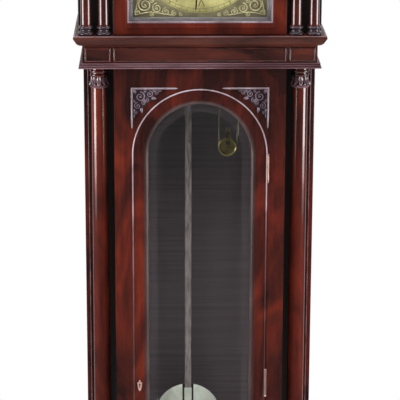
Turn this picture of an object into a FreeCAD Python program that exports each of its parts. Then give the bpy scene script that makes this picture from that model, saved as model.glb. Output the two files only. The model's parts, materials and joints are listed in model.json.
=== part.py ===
import FreeCAD, Part
import math
import os

# Longcase clock, millimetres. +Z is up, the front faces -Y, the back stands on the plane y = back.
# The origin is on the floor in the middle of the plinth.

# Heights of the case, each measured from the floor
plinth_height = 92.0
base_top = 420.0
trunk_top = 1724.0

# Heights of the members between the trunk and the hood
base_moulding_height = 26.0
lower_cornice_height = 14.0
lower_cornice_proud = 8.0
frieze_height = 30.0
seat_moulding_height = 8.0
hood_base_height = 12.0

# Widths and depths of the case: the door, the panel round it, then an open niche each side
panel_margin = 34.0
niche_width = 59.0
trunk_depth = 228.0
base_step = 26.0
plinth_step = 14.0
seat_overhang = 17.0
niche_depth = 50.0
front_board = 22.0
side_board = 12.0
back_board = 12.0
base_board = 18.0
floor_height = 24.0
floor_board_thickness = 18.0
trunk_tenon = 80.0

# Trunk columns
column_side_inset = 30.5
column_inset = 26.0
column_block_height = 40.0
column_base_height = 34.0
capital_height = 36.0
shaft_foot_r = 17.3
column_base_swell = 4.5
shaft_top_r = 14.8
shaft_entasis = 0.5
capital_neck_r = 13.5
capital_ring_r = 16.0
leaf_tip_r = 22.5
leaf_half = 2.0
leaf_count = 8
astragal = 1.5

# Trunk door
door_width = 262.0
door_bottom_margin = 63.0
door_top_margin = 40.0
door_gap = 1.0
door_stile = 23.0
door_lip = 6.0
door_lip_depth = 8.0
inner_moulding_width = 9.0
inner_moulding_depth = 8.0
glass_thickness = 4.0
glass_gap = 0.3
door_bead_width = 4.0
bead_proud = 3.0

# Butt hinges of the trunk door
hinge_end_inset = 157.5
hinge_proud = 0.4
leaf_gap = 0.3
hinge_length = 51.0
knuckle_r = 2.6
pin_r = 1.2
pin_gap = 0.05
leaf_thickness = 1.8
leaf_depth = 18.0
knuckle_gap = 0.3
pin_finial_r = 2.4

# Lock on the left stile of the trunk door
lock_inset = 12.5
lock_below_middle = 5.0
lock_edge = 2.0
lock_back = 3.0
keeper_wall = 2.0
key_rise = 1.0
lock_height = 40.0
lock_depth = 14.0
lock_length = 20.0
bolt_height = 10.0
bolt_depth = 6.0
bolt_travel = 8.0
bolt_gap = 0.2
keeper_length = 14.0
escutcheon_width = 10.0
escutcheon_height = 23.5
escutcheon_thickness = 1.0
keyhole_r = 1.6

# Applied ornament on the trunk
l_bead_side_gap = 1.5
l_bead_top_gap = 3.0
l_bead_across = 88.0
l_bead_down = 79.0
l_bead_width = 4.0
carving_leg = 54.0
carving_proud = 4.0
frieze_bead_width = 3.5
frieze_bead_margin = 3.0
frieze_bead_gap = 7.5
frieze_small_panel = 47.0
base_bead_side = 58.0
base_bead_bottom = 40.0
base_bead_top = 34.0

# Hood
hood_side_step = 8.0
hood_base_bearing = 6.0
hood_side_board = 10.0
hood_front_board = 12.0
hood_column_edge = 15.5
hood_column_spacing = 33.5
hood_column_r = 10.0
hood_column_base_r = 14.5
hood_column_base_height = 20.0
hood_capital_height = 32.0
hood_column_setback = 23.0
entablature_depth = 46.0
entablature_height = 53.0
entablature_overlap = 4.0
hood_arch_r = 165.0
cornice_drop = 22.0
cornice_rise = 14.0
cornice_proud = 26.0
roof_thickness = 8.0
finial_height = 126.0
finial_block = 38.0
hood_back_gap = 1.0

# Dial door and mask
dial_door_column_gap = 4.5
dial_door_thickness = 18.0
dial_door_setback = 18.0
dial_door_rail = 22.0
dial_door_floor_gap = 2.5
dial_door_back_gap = 2.5
dial_glass_thickness = 3.0
dial_glass_overlap = 4.0
mask_strip = 10.0
door_arch_gap = 2.0
door_swing_step = 8.0
pivot_inset = 6.0
pivot_setback = 8.0
pivot_r = 2.5
pivot_length = 16.0
pivot_flange_r = 6.0

# Dial and hands
dial_centre_rise = 157.0
dial_view_half = 128.0
dial_arch_view_r = 95.0
dial_plate_margin = 8.0
dial_plate_thickness = 3.0
dial_mask_gap = 2.0
chapter_outer_r = 120.0
chapter_inner_r = 88.0
chapter_thickness = 1.5
dial_foot_r = 3.0
dial_ornament_thickness = 2.0
dial_ornament_edge = 3.0
dial_ornament_ring_gap = 4.0
arch_boss_r = 46.0
arch_boss_edge = 9.0
winding_hole_gap = 1.5
winding_square = 1.0
hour_hand_length = 70.0
hour_hand_angle = 315.3
hour_hand_root = 4.0
hour_hand_tip = 2.4
minute_hand_length = 117.0
minute_hand_angle = 184.0
minute_hand_root = 3.0
minute_hand_tip = 1.2
arbor_proud = 2.0
hand_thickness = 1.5
hour_hand_lift = 3.0
minute_hand_lift = 7.0
arbor_r = 2.0
hour_pipe_r = 4.0
hour_wheel_r = 23.8

# Movement
seat_board_thickness = 20.0
seat_board_rise = 30.0
seat_board_end_gap = 6.0
seat_board_lead = 10.0
line_hole_half = 8.0
line_hole_half_depth = 6.0
cheek_drop = 136.0
cheek_depth = 66.0
plate_half = 84.0
plate_height = 184.0
plate_thickness = 3.0
plate_gap = 52.0
dial_foot_length = 25.0
pillar_r = 5.0
pillar_side_inset = 22.0
pillar_inset = 12.0
barrel_x = 55.0
barrel_drop = 40.0
barrel_r = 19.0
barrel_flange_r = 26.0
great_wheel_r = 34.0
barrel_arbor_r = 3.5
running_gap = 0.05
side_gap = 0.5

# Train wheels: the centre and escape wheels, then (across, above the seat, radius, behind the front plate)
wheel_rim = 2.1
centre_wheel_r = 24.0
centre_wheel_depth = 36.5
escape_r = 11.5
escape_drop = 23.0
train_places = ((-46.0, 119.0, 9.0, 34.5), (30.0, 152.0, 19.0, 40.5),
                (36.0, 30.0, 20.0, 34.5), (-8.0, 32.0, 18.0, 38.5))

# Anchor, crutch and the cock that carries them
cock_half = 14.0
cock_leg = 4.0
cock_arm = 8.0
cock_rise = 15.0
cock_stand = 5.0
spring_slot = 1.4
anchor_lead = 6.0
anchor_lip = 1.0
pallet_gap = 2.5
pallet_width = 3.0
crutch_gap = 1.5
crutch_thickness = 2.0
crutch_half = 2.5
fork_half_height = 3.0
prong_width = 3.0

# Pendulum
pendulum_x = -20.0
pivot_rise = 40.0
pendulum_length = 1023.0
bob_r = 66.5
bob_thickness = 28.0
bob_channel = 23.0
rating_screw_r = 2.5
spring_half = 0.2
chop_half = 4.0
chop_height = 5.0
rod_width = 13.0
rod_thickness = 6.0
rod_gap = 0.3
pendulum_behind_plate = 16.0
spring_length = 30.0
nut_r = 9.0
nut_height = 7.0
crutch_length = 90.0

# Pulleys, lines and weights
going_pulley_drop = 259.0
strike_pulley_drop = 156.0
pulley_x = 57.5
pulley_wheel_r = 19.5
pulley_wheel_width = 8.0
groove_depth = 3.0
groove_width = 4.0
line_r = 1.0
line_offset = 18.0
line_behind_plate = 25.36
stirrup_thickness = 1.6
stirrup_width = 9.0
stirrup_reach = 35.0
stirrup_neck = 9.0
stirrup_eye_r = 4.0
weight_r = 28.0
weight_height = 180.0
weight_x = 120.0
weight_rounding = 3.0
weight_eye_r = 8.0
weight_eye_rise = 7.0
hook_wire_r = 1.6

# Bell and hammer
bell_r = 38.0
bell_height = 26.0
bell_wall = 2.0
bell_x = 12.0
bell_lift = 26.0
bell_stand_r = 1.4
hammer_r = 6.0
hammer_half = 8.0
hammer_gap = 1.5
hammer_drop = 22.0
hammer_arm = 3.0
hammer_arm_gap = 1.0

# Planes and levels that follow from the driving sizes
back = (trunk_depth + base_step + plinth_step) / 2
trunk_front_y = back - trunk_depth
door_half = door_width / 2
panel_half = door_half + panel_margin
trunk_half = panel_half + niche_width
base_half = trunk_half + base_step
base_front_y = trunk_front_y - base_step
niche_back_y = trunk_front_y + niche_depth
frame_back_y = trunk_front_y + front_board
inside_back_y = back - back_board
trunk_foot = base_top - trunk_tenon
frieze_bottom = trunk_top + lower_cornice_height
frieze_top = frieze_bottom + frieze_height
seat_z = frieze_top + seat_moulding_height
hood_floor = seat_z + hood_base_height
door_bottom = base_top + door_bottom_margin
door_top = trunk_top - door_top_margin
door_spring = door_top - door_half
door_middle = (door_bottom + door_top) / 2
lock_x = lock_inset - door_half
lock_z = door_middle - lock_below_middle
column_x = trunk_half - column_side_inset
column_y = trunk_front_y + column_inset
column_foot = base_top + column_block_height
hinge_x = door_half + door_gap / 2
hinge_y = trunk_front_y - knuckle_r - hinge_proud
hinge_heights = (door_top - hinge_end_inset, door_middle, door_bottom + hinge_end_inset)

hood_half = trunk_half + hood_side_step
hood_outer_column_x = hood_half - hood_column_edge
hood_inner_column_x = hood_outer_column_x - hood_column_spacing
hood_front_y = trunk_front_y - seat_overhang
hood_column_y = hood_front_y + hood_column_setback
entablature_half = hood_half + entablature_overlap
dial_centre_z = hood_floor + dial_centre_rise
dial_door_opening_half = dial_view_half + mask_strip
dial_door_half = hood_inner_column_x - hood_column_base_r - dial_door_column_gap
dial_door_y = hood_front_y + dial_door_setback
dial_door_back_y = dial_door_y + dial_door_thickness
hood_frame_y = dial_door_back_y + dial_door_back_gap
hood_frame_back_y = hood_frame_y + hood_front_board
entablature_y = hood_frame_back_y - entablature_depth
hood_back_y = inside_back_y - hood_back_gap
dial_square_top = dial_centre_z + dial_view_half
dial_square_bottom = dial_centre_z - dial_view_half

dial_y = hood_frame_back_y + dial_mask_gap
dial_back_y = dial_y + dial_plate_thickness
front_plate_y = dial_back_y + dial_foot_length
back_plate_y = front_plate_y + plate_thickness + plate_gap
movement_back_y = back_plate_y + plate_thickness
movement_mid_y = front_plate_y + plate_thickness + plate_gap / 2
seat_board_bottom = seat_z + seat_board_rise
seat_board_half = trunk_half - side_board - seat_board_end_gap
movement_foot = seat_board_bottom + seat_board_thickness
movement_top = movement_foot + plate_height
barrel_z = dial_centre_z - barrel_drop
pivot_z = dial_centre_z + pivot_rise
bob_z = pivot_z - pendulum_length
going_pulley_z = seat_board_bottom - going_pulley_drop
strike_pulley_z = seat_board_bottom - strike_pulley_drop
pendulum_y = movement_back_y + pendulum_behind_plate

# The break-arch outlines of the dial, its door and the hood share one centre
arch_z = dial_square_top
door_view_r = dial_arch_view_r + mask_strip
door_view_shoulder = dial_square_top + mask_strip
door_outer_r = door_view_r + dial_door_rail
door_shoulder = door_view_shoulder + dial_door_rail
hood_opening_half = dial_door_half + door_arch_gap
hood_opening_r = door_outer_r + door_arch_gap
entablature_bottom = door_shoulder + door_arch_gap
entablature_top = entablature_bottom + entablature_height
dial_door_bottom = hood_floor + dial_door_floor_gap
pivot_x = dial_door_half - pivot_inset
pivot_y = dial_door_y + pivot_setback

# Places inside the movement that several pieces share
inner_front_y = front_plate_y + plate_thickness
centre_arbor_end_y = front_plate_y + 3 * plate_thickness
cock_top = pivot_z + cock_rise
cock_y = movement_back_y + cock_stand
anchor_y = movement_mid_y - anchor_lead
escape_z = pivot_z - escape_drop
line_y = front_plate_y + line_behind_plate
seat_front_y = front_plate_y - seat_board_lead
hammer_x = bell_x + bell_r + hammer_gap + hammer_half
hammer_z = movement_top - hammer_drop

os.makedirs("parts", exist_ok=True)


def vec(x, y, z):
    return FreeCAD.Vector(x, y, z)


def board(x0, x1, y0, y1, z0, z1):
    return Part.makeBox(x1 - x0, y1 - y0, z1 - z0, vec(x0, y0, z0))


def rod(r, start, end):
    axis = end - start
    return Part.makeCylinder(r, axis.Length, start, axis)


def along_y(r, x, z, y0, y1):
    return rod(r, vec(x, y0, z), vec(x, y1, z))


def save(name, *solids):
    shape = solids[0] if len(solids) == 1 else Part.makeCompound(list(solids))
    shape.exportStep("parts/" + name + ".step")


def mirrored(solid):
    return solid.mirror(vec(0, 0, 0), vec(1, 0, 0))


def both(solid):
    return [solid, mirrored(solid)]


def joined(first, *others):
    return first.fuse(list(others)).removeSplitter().Solids[0]


def path_wire(points):
    # A plain point is the end of a line, a pair of points is the middle and the end of an arc
    edges = []
    here = points[0]
    for step in points[1:]:
        if isinstance(step, tuple):
            edges.append(Part.Arc(here, step[0], step[1]).toShape())
            here = step[1]
        else:
            edges.append(Part.LineSegment(here, step).toShape())
            here = step
    if here.distanceToPoint(points[0]) > 1e-6:
        edges.append(Part.LineSegment(here, points[0]).toShape())
    return Part.Wire(edges)


def slab(points, y0, y1):
    # An outline in the XZ plane, given at y0, carried back to y1
    return Part.Face(path_wire(points)).extrude(vec(0, y1 - y0, 0))


def turned(profile, x, y, z):
    # A profile of (radius, height) points about an upright axis, closed along that axis
    def place(point):
        return vec(x + point[0], y, z + point[1])
    steps = [place((0, profile[0][1])), place(profile[0])]
    for step in profile[1:]:
        steps.append((place(step[0]), place(step[1])) if len(step) == 2 and
                     isinstance(step[0], tuple) else place(step))
    last = profile[-1][1] if isinstance(profile[-1][0], tuple) else profile[-1]
    steps.append(place((0, last[1])))
    return Part.Face(path_wire(steps)).revolve(vec(x, y, z), vec(0, 0, 1), 360)


def arched(half, z0, spring, y0, y1, arch_r=None):
    # A plate with a straight foot and a round head; a smaller arch leaves shoulders
    r = half if arch_r is None else arch_r
    points = [vec(-half, y0, z0), vec(half, y0, z0), vec(half, y0, spring)]
    if r < half:
        points.append(vec(r, y0, spring))
    points.append((vec(0, y0, spring + r), vec(-r, y0, spring)))
    if r < half:
        points.append(vec(-half, y0, spring))
    return slab(points, y0, y1)


def mitred_run(profile, half, front_y, back_y, z):
    # A moulding round the front and the two sides; profile points are (outward, upward)
    reach = max(p[0] for step in profile for p in (step if isinstance(step[0], tuple) else (step,)))

    def run_wire(place):
        steps = []
        for step in profile:
            steps.append(tuple(place(p) for p in step) if isinstance(step[0], tuple) else place(step))
        return Part.Face(path_wire(steps))

    span = half + reach
    front = run_wire(lambda p: vec(-span, front_y - p[0], z + p[1])).extrude(vec(2 * span, 0, 0))
    side = run_wire(lambda p: vec(half + p[0], front_y - reach, z + p[1]))
    side = side.extrude(vec(0, back_y - front_y + reach, 0))
    top = max(p[1] for step in profile for p in (step if isinstance(step[0], tuple) else (step,)))
    corners = [vec(-half, front_y, z), vec(half, front_y, z), vec(span, front_y - reach, z),
               vec(-span, front_y - reach, z), vec(-half, front_y, z)]
    wedge = Part.Face(Part.makePolygon(corners)).extrude(vec(0, 0, top))
    corners = [vec(half, front_y, z), vec(span, front_y - reach, z), vec(span, back_y, z),
               vec(half, back_y, z), vec(half, front_y, z)]
    side_wedge = Part.Face(Part.makePolygon(corners)).extrude(vec(0, 0, top))
    front = front.common(wedge).Solids[0]
    side = side.common(side_wedge).Solids[0]
    return [front, side, mirrored(side)]


def bead_frame(x0, x1, z0, z1, width, face_y):
    # A mitred rectangle of half-round bead on a front face
    outer = board(x0, x1, face_y - bead_proud, face_y, z0, z1)
    inner = board(x0 + width, x1 - width, face_y - bead_proud, face_y, z0 + width, z1 - width)
    frame = outer.cut(inner)
    top = [e for e in frame.Edges if abs(e.BoundBox.YMax - (face_y - bead_proud)) < 1e-6]
    return frame.makeFillet(min(bead_proud, width) * 0.4, top)


def make_base():
    plinth_profile = [(0, 0), (plinth_step, 0), (plinth_step, plinth_height * 0.74),
                      ((plinth_step * 0.8, plinth_height * 0.85), (plinth_step * 0.35, plinth_height * 0.9)),
                      (plinth_step * 0.35, plinth_height), (0, plinth_height)]
    save("plinth", *mitred_run(plinth_profile, base_half, base_front_y, back, 0))
    base_back_y = base_front_y + base_board
    save("base_front", board(-base_half, base_half, base_front_y, base_back_y, 0, base_top))
    side = board(base_half - side_board, base_half, base_back_y, back, 0, base_top)
    save("base_sides", *both(side))
    inner_half = base_half - side_board
    floor = board(-inner_half, inner_half, base_back_y, inside_back_y,
                  floor_height, floor_height + floor_board_thickness)
    save("floor_board", floor)
    step = base_step
    rise = base_moulding_height
    moulding_profile = [(0, 0), (step * 0.92, 0), ((step, rise * 0.1), (step * 0.92, rise * 0.19)),
                        (step * 0.81, rise * 0.19), ((step * 0.38, rise * 0.46), (step * 0.19, rise * 0.85)),
                        (step * 0.08, rise * 0.85), (step * 0.08, rise), (0, rise)]
    save("base_moulding", *mitred_run(moulding_profile, trunk_half, trunk_front_y, back, base_top))
    low = board(-inner_half, inner_half, inside_back_y, back, 0, base_top)
    high = break_arch(trunk_half, base_top, entablature_top, arch_z, hood_arch_r, inside_back_y, back)
    save("backboard", joined(low, high))


def make_trunk():
    opening_half = door_half + door_gap
    front = board(-panel_half, panel_half, trunk_front_y, frame_back_y, trunk_foot, trunk_top)
    front = front.cut(arched(opening_half, door_bottom - door_gap, door_spring, trunk_front_y, frame_back_y))
    for z in hinge_heights:
        front = front.cut(board(hinge_x, hinge_x + leaf_gap + leaf_thickness, trunk_front_y,
                                trunk_front_y + leaf_depth, z - hinge_length / 2, z + hinge_length / 2))
    save("trunk_front", front)
    side = board(trunk_half - side_board, trunk_half, niche_back_y, inside_back_y, trunk_foot, seat_z)
    save("trunk_sides", *both(side))
    cheek = board(panel_half - side_board, panel_half, frame_back_y, niche_back_y + side_board,
                  trunk_foot, trunk_top)
    niche = board(panel_half, trunk_half - side_board, niche_back_y, niche_back_y + side_board,
                  trunk_foot, trunk_top)
    block = board(panel_half, trunk_half, trunk_front_y, niche_back_y, trunk_foot, column_foot)
    save("niche_linings", *both(cheek), *both(niche), *both(block))
    front = board(-trunk_half, trunk_half, trunk_front_y, frame_back_y, trunk_top, seat_z)
    corner = board(panel_half, trunk_half, frame_back_y, niche_back_y, trunk_top, seat_z)
    save("frieze", front, *both(corner))
    rise = lower_cornice_height
    out = lower_cornice_proud
    cornice_profile = [(0, 0), (out * 0.69, 0), ((out, rise * 0.16), (out * 0.81, rise * 0.31)),
                       (out * 0.63, rise * 0.36), ((out * 0.3, rise * 0.6), (out * 0.13, rise)), (0, rise)]
    save("lower_cornice", *mitred_run(cornice_profile, trunk_half, trunk_front_y, inside_back_y, trunk_top))
    rise = seat_moulding_height
    out = seat_overhang
    seat_profile = [(0, 0), (out * 0.12, 0), ((out * 0.3, rise * 0.55), (out * 0.7, rise * 0.88)),
                    (out * 0.7, rise), (0, rise)]
    save("seat_moulding", *mitred_run(seat_profile, trunk_half, trunk_front_y, inside_back_y, frieze_top))


def make_trunk_columns():
    shaft_bottom = column_foot + column_base_height
    shaft_top = trunk_top - capital_height
    base_h = column_base_height
    r = shaft_foot_r
    swell = column_base_swell
    base = [(r + swell, 0), (r + swell, base_h * 0.3),
            ((r + swell * 1.3, base_h * 0.42), (r + swell, base_h * 0.55)),
            (r + swell * 0.4, base_h * 0.6), ((r, base_h * 0.7), (r + swell * 0.4, base_h * 0.8)),
            ((r + swell * 0.9, base_h * 0.9), (r + swell * 0.4, base_h)), (r, base_h)]
    shaft_height = shaft_top - column_foot
    middle = (r + shaft_top_r) / 2 + shaft_entasis
    profile = base + [((middle, shaft_height * 0.55), (shaft_top_r, shaft_height))]
    save("trunk_columns", *both(turned(profile, column_x, column_y, column_foot)))
    cap_h = capital_height
    ring = capital_ring_r
    neck = capital_neck_r
    waist = ring - astragal * 1.3
    lip = ring - astragal * 0.67
    bell = [(shaft_top_r, 0), ((shaft_top_r + astragal, cap_h * 0.033), (shaft_top_r, cap_h * 0.067)),
            (shaft_top_r, cap_h * 0.11), ((neck + astragal * 1.2, cap_h * 0.35), (neck, cap_h * 0.66)),
            (waist, cap_h * 0.7), ((ring, cap_h * 0.76), (waist, cap_h * 0.82)), (lip, cap_h * 0.86),
            ((ring + astragal * 0.33, cap_h * 0.93), (lip, cap_h))]
    capital = turned(bell, column_x, column_y, shaft_top)
    root = neck - astragal * 0.67
    y = -leaf_half
    leaf_points = [vec(root, y, cap_h * 0.14), vec(leaf_tip_r * 0.82, y, cap_h * 0.17),
                   (vec(leaf_tip_r * 0.98, y, cap_h * 0.18), vec(leaf_tip_r, y, cap_h * 0.25)),
                   (vec(neck + astragal * 2, y, cap_h * 0.31), vec(neck + astragal * 1.3, y, cap_h * 0.62)),
                   vec(root, y, cap_h * 0.62)]
    leaves = []
    for k in range(leaf_count):
        leaf = slab(leaf_points, -leaf_half, leaf_half)
        leaf.rotate(vec(0, 0, 0), vec(0, 0, 1), 360 / leaf_count * (k + 0.5))
        leaf.translate(vec(column_x, column_y, shaft_top))
        leaves.append(leaf)
    save("trunk_capitals", *both(joined(capital, *leaves)))


def make_trunk_ornament():
    corner_x = door_half + l_bead_side_gap
    corner_z = door_top + l_bead_top_gap
    across = board(corner_x - l_bead_across, corner_x, trunk_front_y - bead_proud, trunk_front_y,
                   corner_z - l_bead_width, corner_z)
    down = board(corner_x - l_bead_width, corner_x, trunk_front_y - bead_proud, trunk_front_y,
                 corner_z - l_bead_down, corner_z)
    l_bead = joined(across, down)
    inner_x = corner_x - l_bead_width
    inner_z = corner_z - l_bead_width
    y = trunk_front_y
    triangle = [vec(inner_x, y, inner_z), vec(inner_x - carving_leg, y, inner_z),
                vec(inner_x, y, inner_z - carving_leg)]
    carving = slab(triangle, y, y - carving_proud * 0.4)
    scrolls = []
    for across_share, down_share, share in ((0.22, 0.22, 0.16), (0.55, 0.14, 0.10), (0.14, 0.55, 0.10)):
        centre = vec(inner_x - carving_leg * across_share, y, inner_z - carving_leg * down_share)
        top = centre - vec(0, carving_proud, 0)
        scroll = rod(carving_leg * share, centre, top)
        eye = rod(carving_leg * share * 0.5, centre - vec(0, carving_proud * 0.6, 0), top)
        scrolls.append(scroll.cut(eye))
    save("carved_spandrels", *both(joined(carving, *scrolls)))
    beads = both(l_bead)
    z0 = frieze_bottom + frieze_bead_margin
    z1 = frieze_top - frieze_bead_margin
    outer = trunk_half - frieze_bead_gap / 2
    small = bead_frame(outer - frieze_small_panel, outer, z0, z1, frieze_bead_width, trunk_front_y)
    wide_half = outer - frieze_small_panel - frieze_bead_gap
    beads.extend(both(small))
    beads.append(bead_frame(-wide_half, wide_half, z0, z1, frieze_bead_width, trunk_front_y))
    base_bead_half = base_half - base_bead_side
    beads.append(bead_frame(-base_bead_half, base_bead_half, plinth_height + base_bead_bottom,
                            base_top - base_bead_top, l_bead_width, base_front_y))
    save("applied_beads", *beads)


def make_trunk_door():
    y0 = trunk_front_y
    opening_half = door_half - door_stile
    glass_back_y = frame_back_y - door_lip_depth
    frame = arched(door_half, door_bottom, door_spring, y0, frame_back_y)
    frame = frame.cut(arched(opening_half, door_bottom + door_stile, door_spring, y0, glass_back_y))
    lip_half = opening_half - door_lip
    frame = frame.cut(arched(lip_half, door_bottom + door_stile + door_lip, door_spring,
                             glass_back_y, frame_back_y))
    bead = arched(door_half, door_bottom, door_spring, y0 - bead_proud, y0)
    bead = bead.cut(arched(door_half - door_bead_width, door_bottom + door_bead_width, door_spring,
                           y0 - bead_proud, y0))
    door_leaves = []
    case_leaves = []
    pins = []
    third = hinge_length / 3
    for z in hinge_heights:
        z0 = z - hinge_length / 2
        z1 = z + hinge_length / 2
        leaf_x = hinge_x - leaf_gap - leaf_thickness
        frame = frame.cut(board(leaf_x, door_half, y0, y0 + leaf_depth, z0, z1))
        bead = bead.cut(board(door_half - door_bead_width, door_half, y0 - bead_proud, y0,
                              z0 - pin_finial_r * 2, z1 + pin_finial_r * 2))
        bore = rod(pin_r + pin_gap, vec(hinge_x, hinge_y, z0), vec(hinge_x, hinge_y, z1))
        plate = board(leaf_x, hinge_x - leaf_gap, y0, y0 + leaf_depth, z0, z1)
        low = z0 + third + knuckle_gap
        high = z1 - third - knuckle_gap
        tab = board(leaf_x, hinge_x - leaf_gap, hinge_y, y0, low, high)
        knuckle = rod(knuckle_r, vec(hinge_x, hinge_y, low), vec(hinge_x, hinge_y, high))
        door_leaves.append(joined(plate, tab, knuckle).cut(bore))
        case_x = hinge_x + leaf_gap
        plate = board(case_x, case_x + leaf_thickness, y0, y0 + leaf_depth, z0, z1)
        pieces = []
        for low, high in ((z0, z0 + third), (z1 - third, z1)):
            pieces.append(board(case_x, case_x + leaf_thickness, hinge_y, y0, low, high))
            pieces.append(rod(knuckle_r, vec(hinge_x, hinge_y, low), vec(hinge_x, hinge_y, high)))
        case_leaves.append(joined(plate, *pieces).cut(bore))
        pin = rod(pin_r, vec(hinge_x, hinge_y, z0), vec(hinge_x, hinge_y, z1))
        balls = []
        for end, way in ((z0, -1), (z1, 1)):
            ball = Part.makeSphere(pin_finial_r, vec(hinge_x, hinge_y, end + way * pin_finial_r * 0.8))
            far = end + way * 2 * knuckle_r
            half_space = board(hinge_x - knuckle_r, hinge_x + knuckle_r, hinge_y - knuckle_r,
                               hinge_y + knuckle_r, min(end, far), max(end, far))
            balls.append(ball.common(half_space))
        pins.append(joined(pin, *balls))
    keeper_x = -door_half - door_gap - bolt_gap - keeper_length
    keeper = board(keeper_x, keeper_x + keeper_length, frame_back_y, frame_back_y + lock_depth,
                   lock_z - bolt_height, lock_z + bolt_height)
    bolt_y = frame_back_y + lock_depth / 2 - bolt_depth / 2
    bolt_way_y0 = bolt_y - bolt_gap
    bolt_way_y1 = bolt_y + bolt_depth + bolt_gap
    bolt_way_z0 = lock_z - bolt_height / 2 - bolt_gap
    bolt_way_z1 = lock_z + bolt_height / 2 + bolt_gap
    keeper = keeper.cut(board(keeper_x + keeper_wall, keeper_x + keeper_length, bolt_way_y0, bolt_way_y1,
                              bolt_way_z0, bolt_way_z1))
    save("case_hardware", *case_leaves, *pins, keeper)
    save("door_hinge_leaves", *door_leaves)
    save("door_bead", bead)

    lock_left = lock_edge - door_half
    lock = board(lock_left, lock_left + lock_length, frame_back_y, frame_back_y + lock_depth,
                 lock_z - lock_height / 2, lock_z + lock_height / 2)
    bolt_back = lock_left + lock_length - lock_back
    lock = lock.cut(board(lock_left, bolt_back, bolt_way_y0, bolt_way_y1, bolt_way_z0, bolt_way_z1))
    key_z = lock_z + key_rise
    key_bore = rod(keyhole_r, vec(lock_x, y0 - escutcheon_thickness, key_z), vec(lock_x, frame_back_y, key_z))
    frame = frame.cut(key_bore)
    save("door_frame", frame)
    save("lock_case", lock)
    save("lock_bolt", board(lock_left + bolt_gap, bolt_back - bolt_gap, bolt_y, bolt_y + bolt_depth,
                            lock_z - bolt_height / 2, lock_z + bolt_height / 2))
    plate_y = y0 - escutcheon_thickness
    half_w = escutcheon_width / 2
    half_h = escutcheon_height / 2
    edge = ((0, 1), (0.7, 0.66), (1, 0.3), (1, -0.45), (0.6, -0.62), (0, -1))
    sides = list(edge) + [(-across, up) for across, up in reversed(edge[1:-1])]
    outline = [vec(lock_x + half_w * across, plate_y, lock_z + half_h * up) for across, up in sides]
    plate = slab(outline, plate_y, y0)
    slot_half = keyhole_r * 0.5
    slot = board(lock_x - slot_half, lock_x + slot_half, plate_y, y0, lock_z - half_h * 0.4, key_z)
    save("escutcheon", plate.cut(key_bore).cut(slot))

    moulding_y = glass_back_y - glass_thickness - 2 * glass_gap
    moulding = arched(opening_half, door_bottom + door_stile, door_spring,
                      moulding_y - inner_moulding_depth, moulding_y)
    view_half = opening_half - inner_moulding_width
    moulding = moulding.cut(arched(view_half, door_bottom + door_stile + inner_moulding_width, door_spring,
                                   moulding_y - inner_moulding_depth, moulding_y))
    save("door_inner_moulding", moulding)
    glass_half = opening_half - glass_gap
    save("door_glass", arched(glass_half, door_bottom + door_stile + glass_gap, door_spring,
                              moulding_y + glass_gap, moulding_y + glass_gap + glass_thickness))


def break_arch(half, z0, shoulder, centre, r, y0, y1):
    # A square plate with a smaller round arch standing on its shoulders
    half_chord = math.sqrt(r * r - (shoulder - centre) ** 2)
    points = [vec(-half, y0, z0), vec(half, y0, z0), vec(half, y0, shoulder), vec(half_chord, y0, shoulder),
              (vec(0, y0, centre + r), vec(-half_chord, y0, shoulder)), vec(-half, y0, shoulder)]
    return slab(points, y0, y1)


def make_hood_carcass():
    half = trunk_half + seat_overhang
    inner = trunk_half - hood_base_bearing
    front = board(-half, half, hood_front_y, hood_frame_back_y, seat_z, hood_floor)
    side = board(inner, half, hood_frame_back_y, hood_back_y, seat_z, hood_floor)
    base = joined(front, *both(side))
    nose = []
    for edge in base.Edges:
        box = edge.BoundBox
        upright = box.ZMax - box.ZMin > 1
        on_front = abs(box.YMax - hood_front_y) < 1e-6
        on_side = abs(max(abs(box.XMin), abs(box.XMax)) - half) < 1e-6 and box.XMax - box.XMin < 1e-6
        if not upright and (on_front or on_side):
            nose.append(edge)
    save("hood_base", base.makeFillet(hood_base_height * 0.3, nose))
    wall = board(hood_half - hood_side_board, hood_half, hood_frame_back_y, hood_back_y,
                 hood_floor, entablature_bottom)
    stile = board(hood_opening_half, hood_half, hood_frame_y, hood_frame_back_y,
                  hood_floor, entablature_bottom)
    save("hood_sides", *both(wall), *both(stile))
    mask = break_arch(hood_opening_half, hood_floor, entablature_bottom, arch_z, hood_opening_r - glass_gap,
                      hood_frame_y, hood_frame_back_y)
    mask = mask.cut(break_arch(dial_view_half, dial_square_bottom, dial_square_top, arch_z, dial_arch_view_r,
                               hood_frame_y, hood_frame_back_y))
    save("hood_mask", mask)
    front = break_arch(entablature_half, entablature_bottom, entablature_top, arch_z, hood_arch_r,
                       entablature_y, hood_frame_back_y)
    front = front.cut(along_y(hood_opening_r, 0, arch_z, entablature_y, hood_frame_back_y))
    # A step in front of the dial door's head gives it room to swing
    step_y = dial_door_y + door_arch_gap / 2
    front = front.cut(along_y(hood_opening_r + door_swing_step, 0, arch_z, entablature_y, step_y))
    side = board(hood_half - hood_side_board, entablature_half, hood_frame_back_y, hood_back_y,
                 entablature_bottom, entablature_top)
    save("hood_entablature", front, *both(side))
    roof_half = hood_half - hood_side_board
    under = entablature_top - roof_thickness
    roof = break_arch(roof_half, under, entablature_top, arch_z, hood_arch_r, hood_frame_back_y, hood_back_y)
    hollow = break_arch(roof_half, under - roof_thickness, under, arch_z, hood_arch_r - roof_thickness,
                        hood_frame_back_y, hood_back_y)
    save("hood_roof", roof.cut(hollow))


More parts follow.
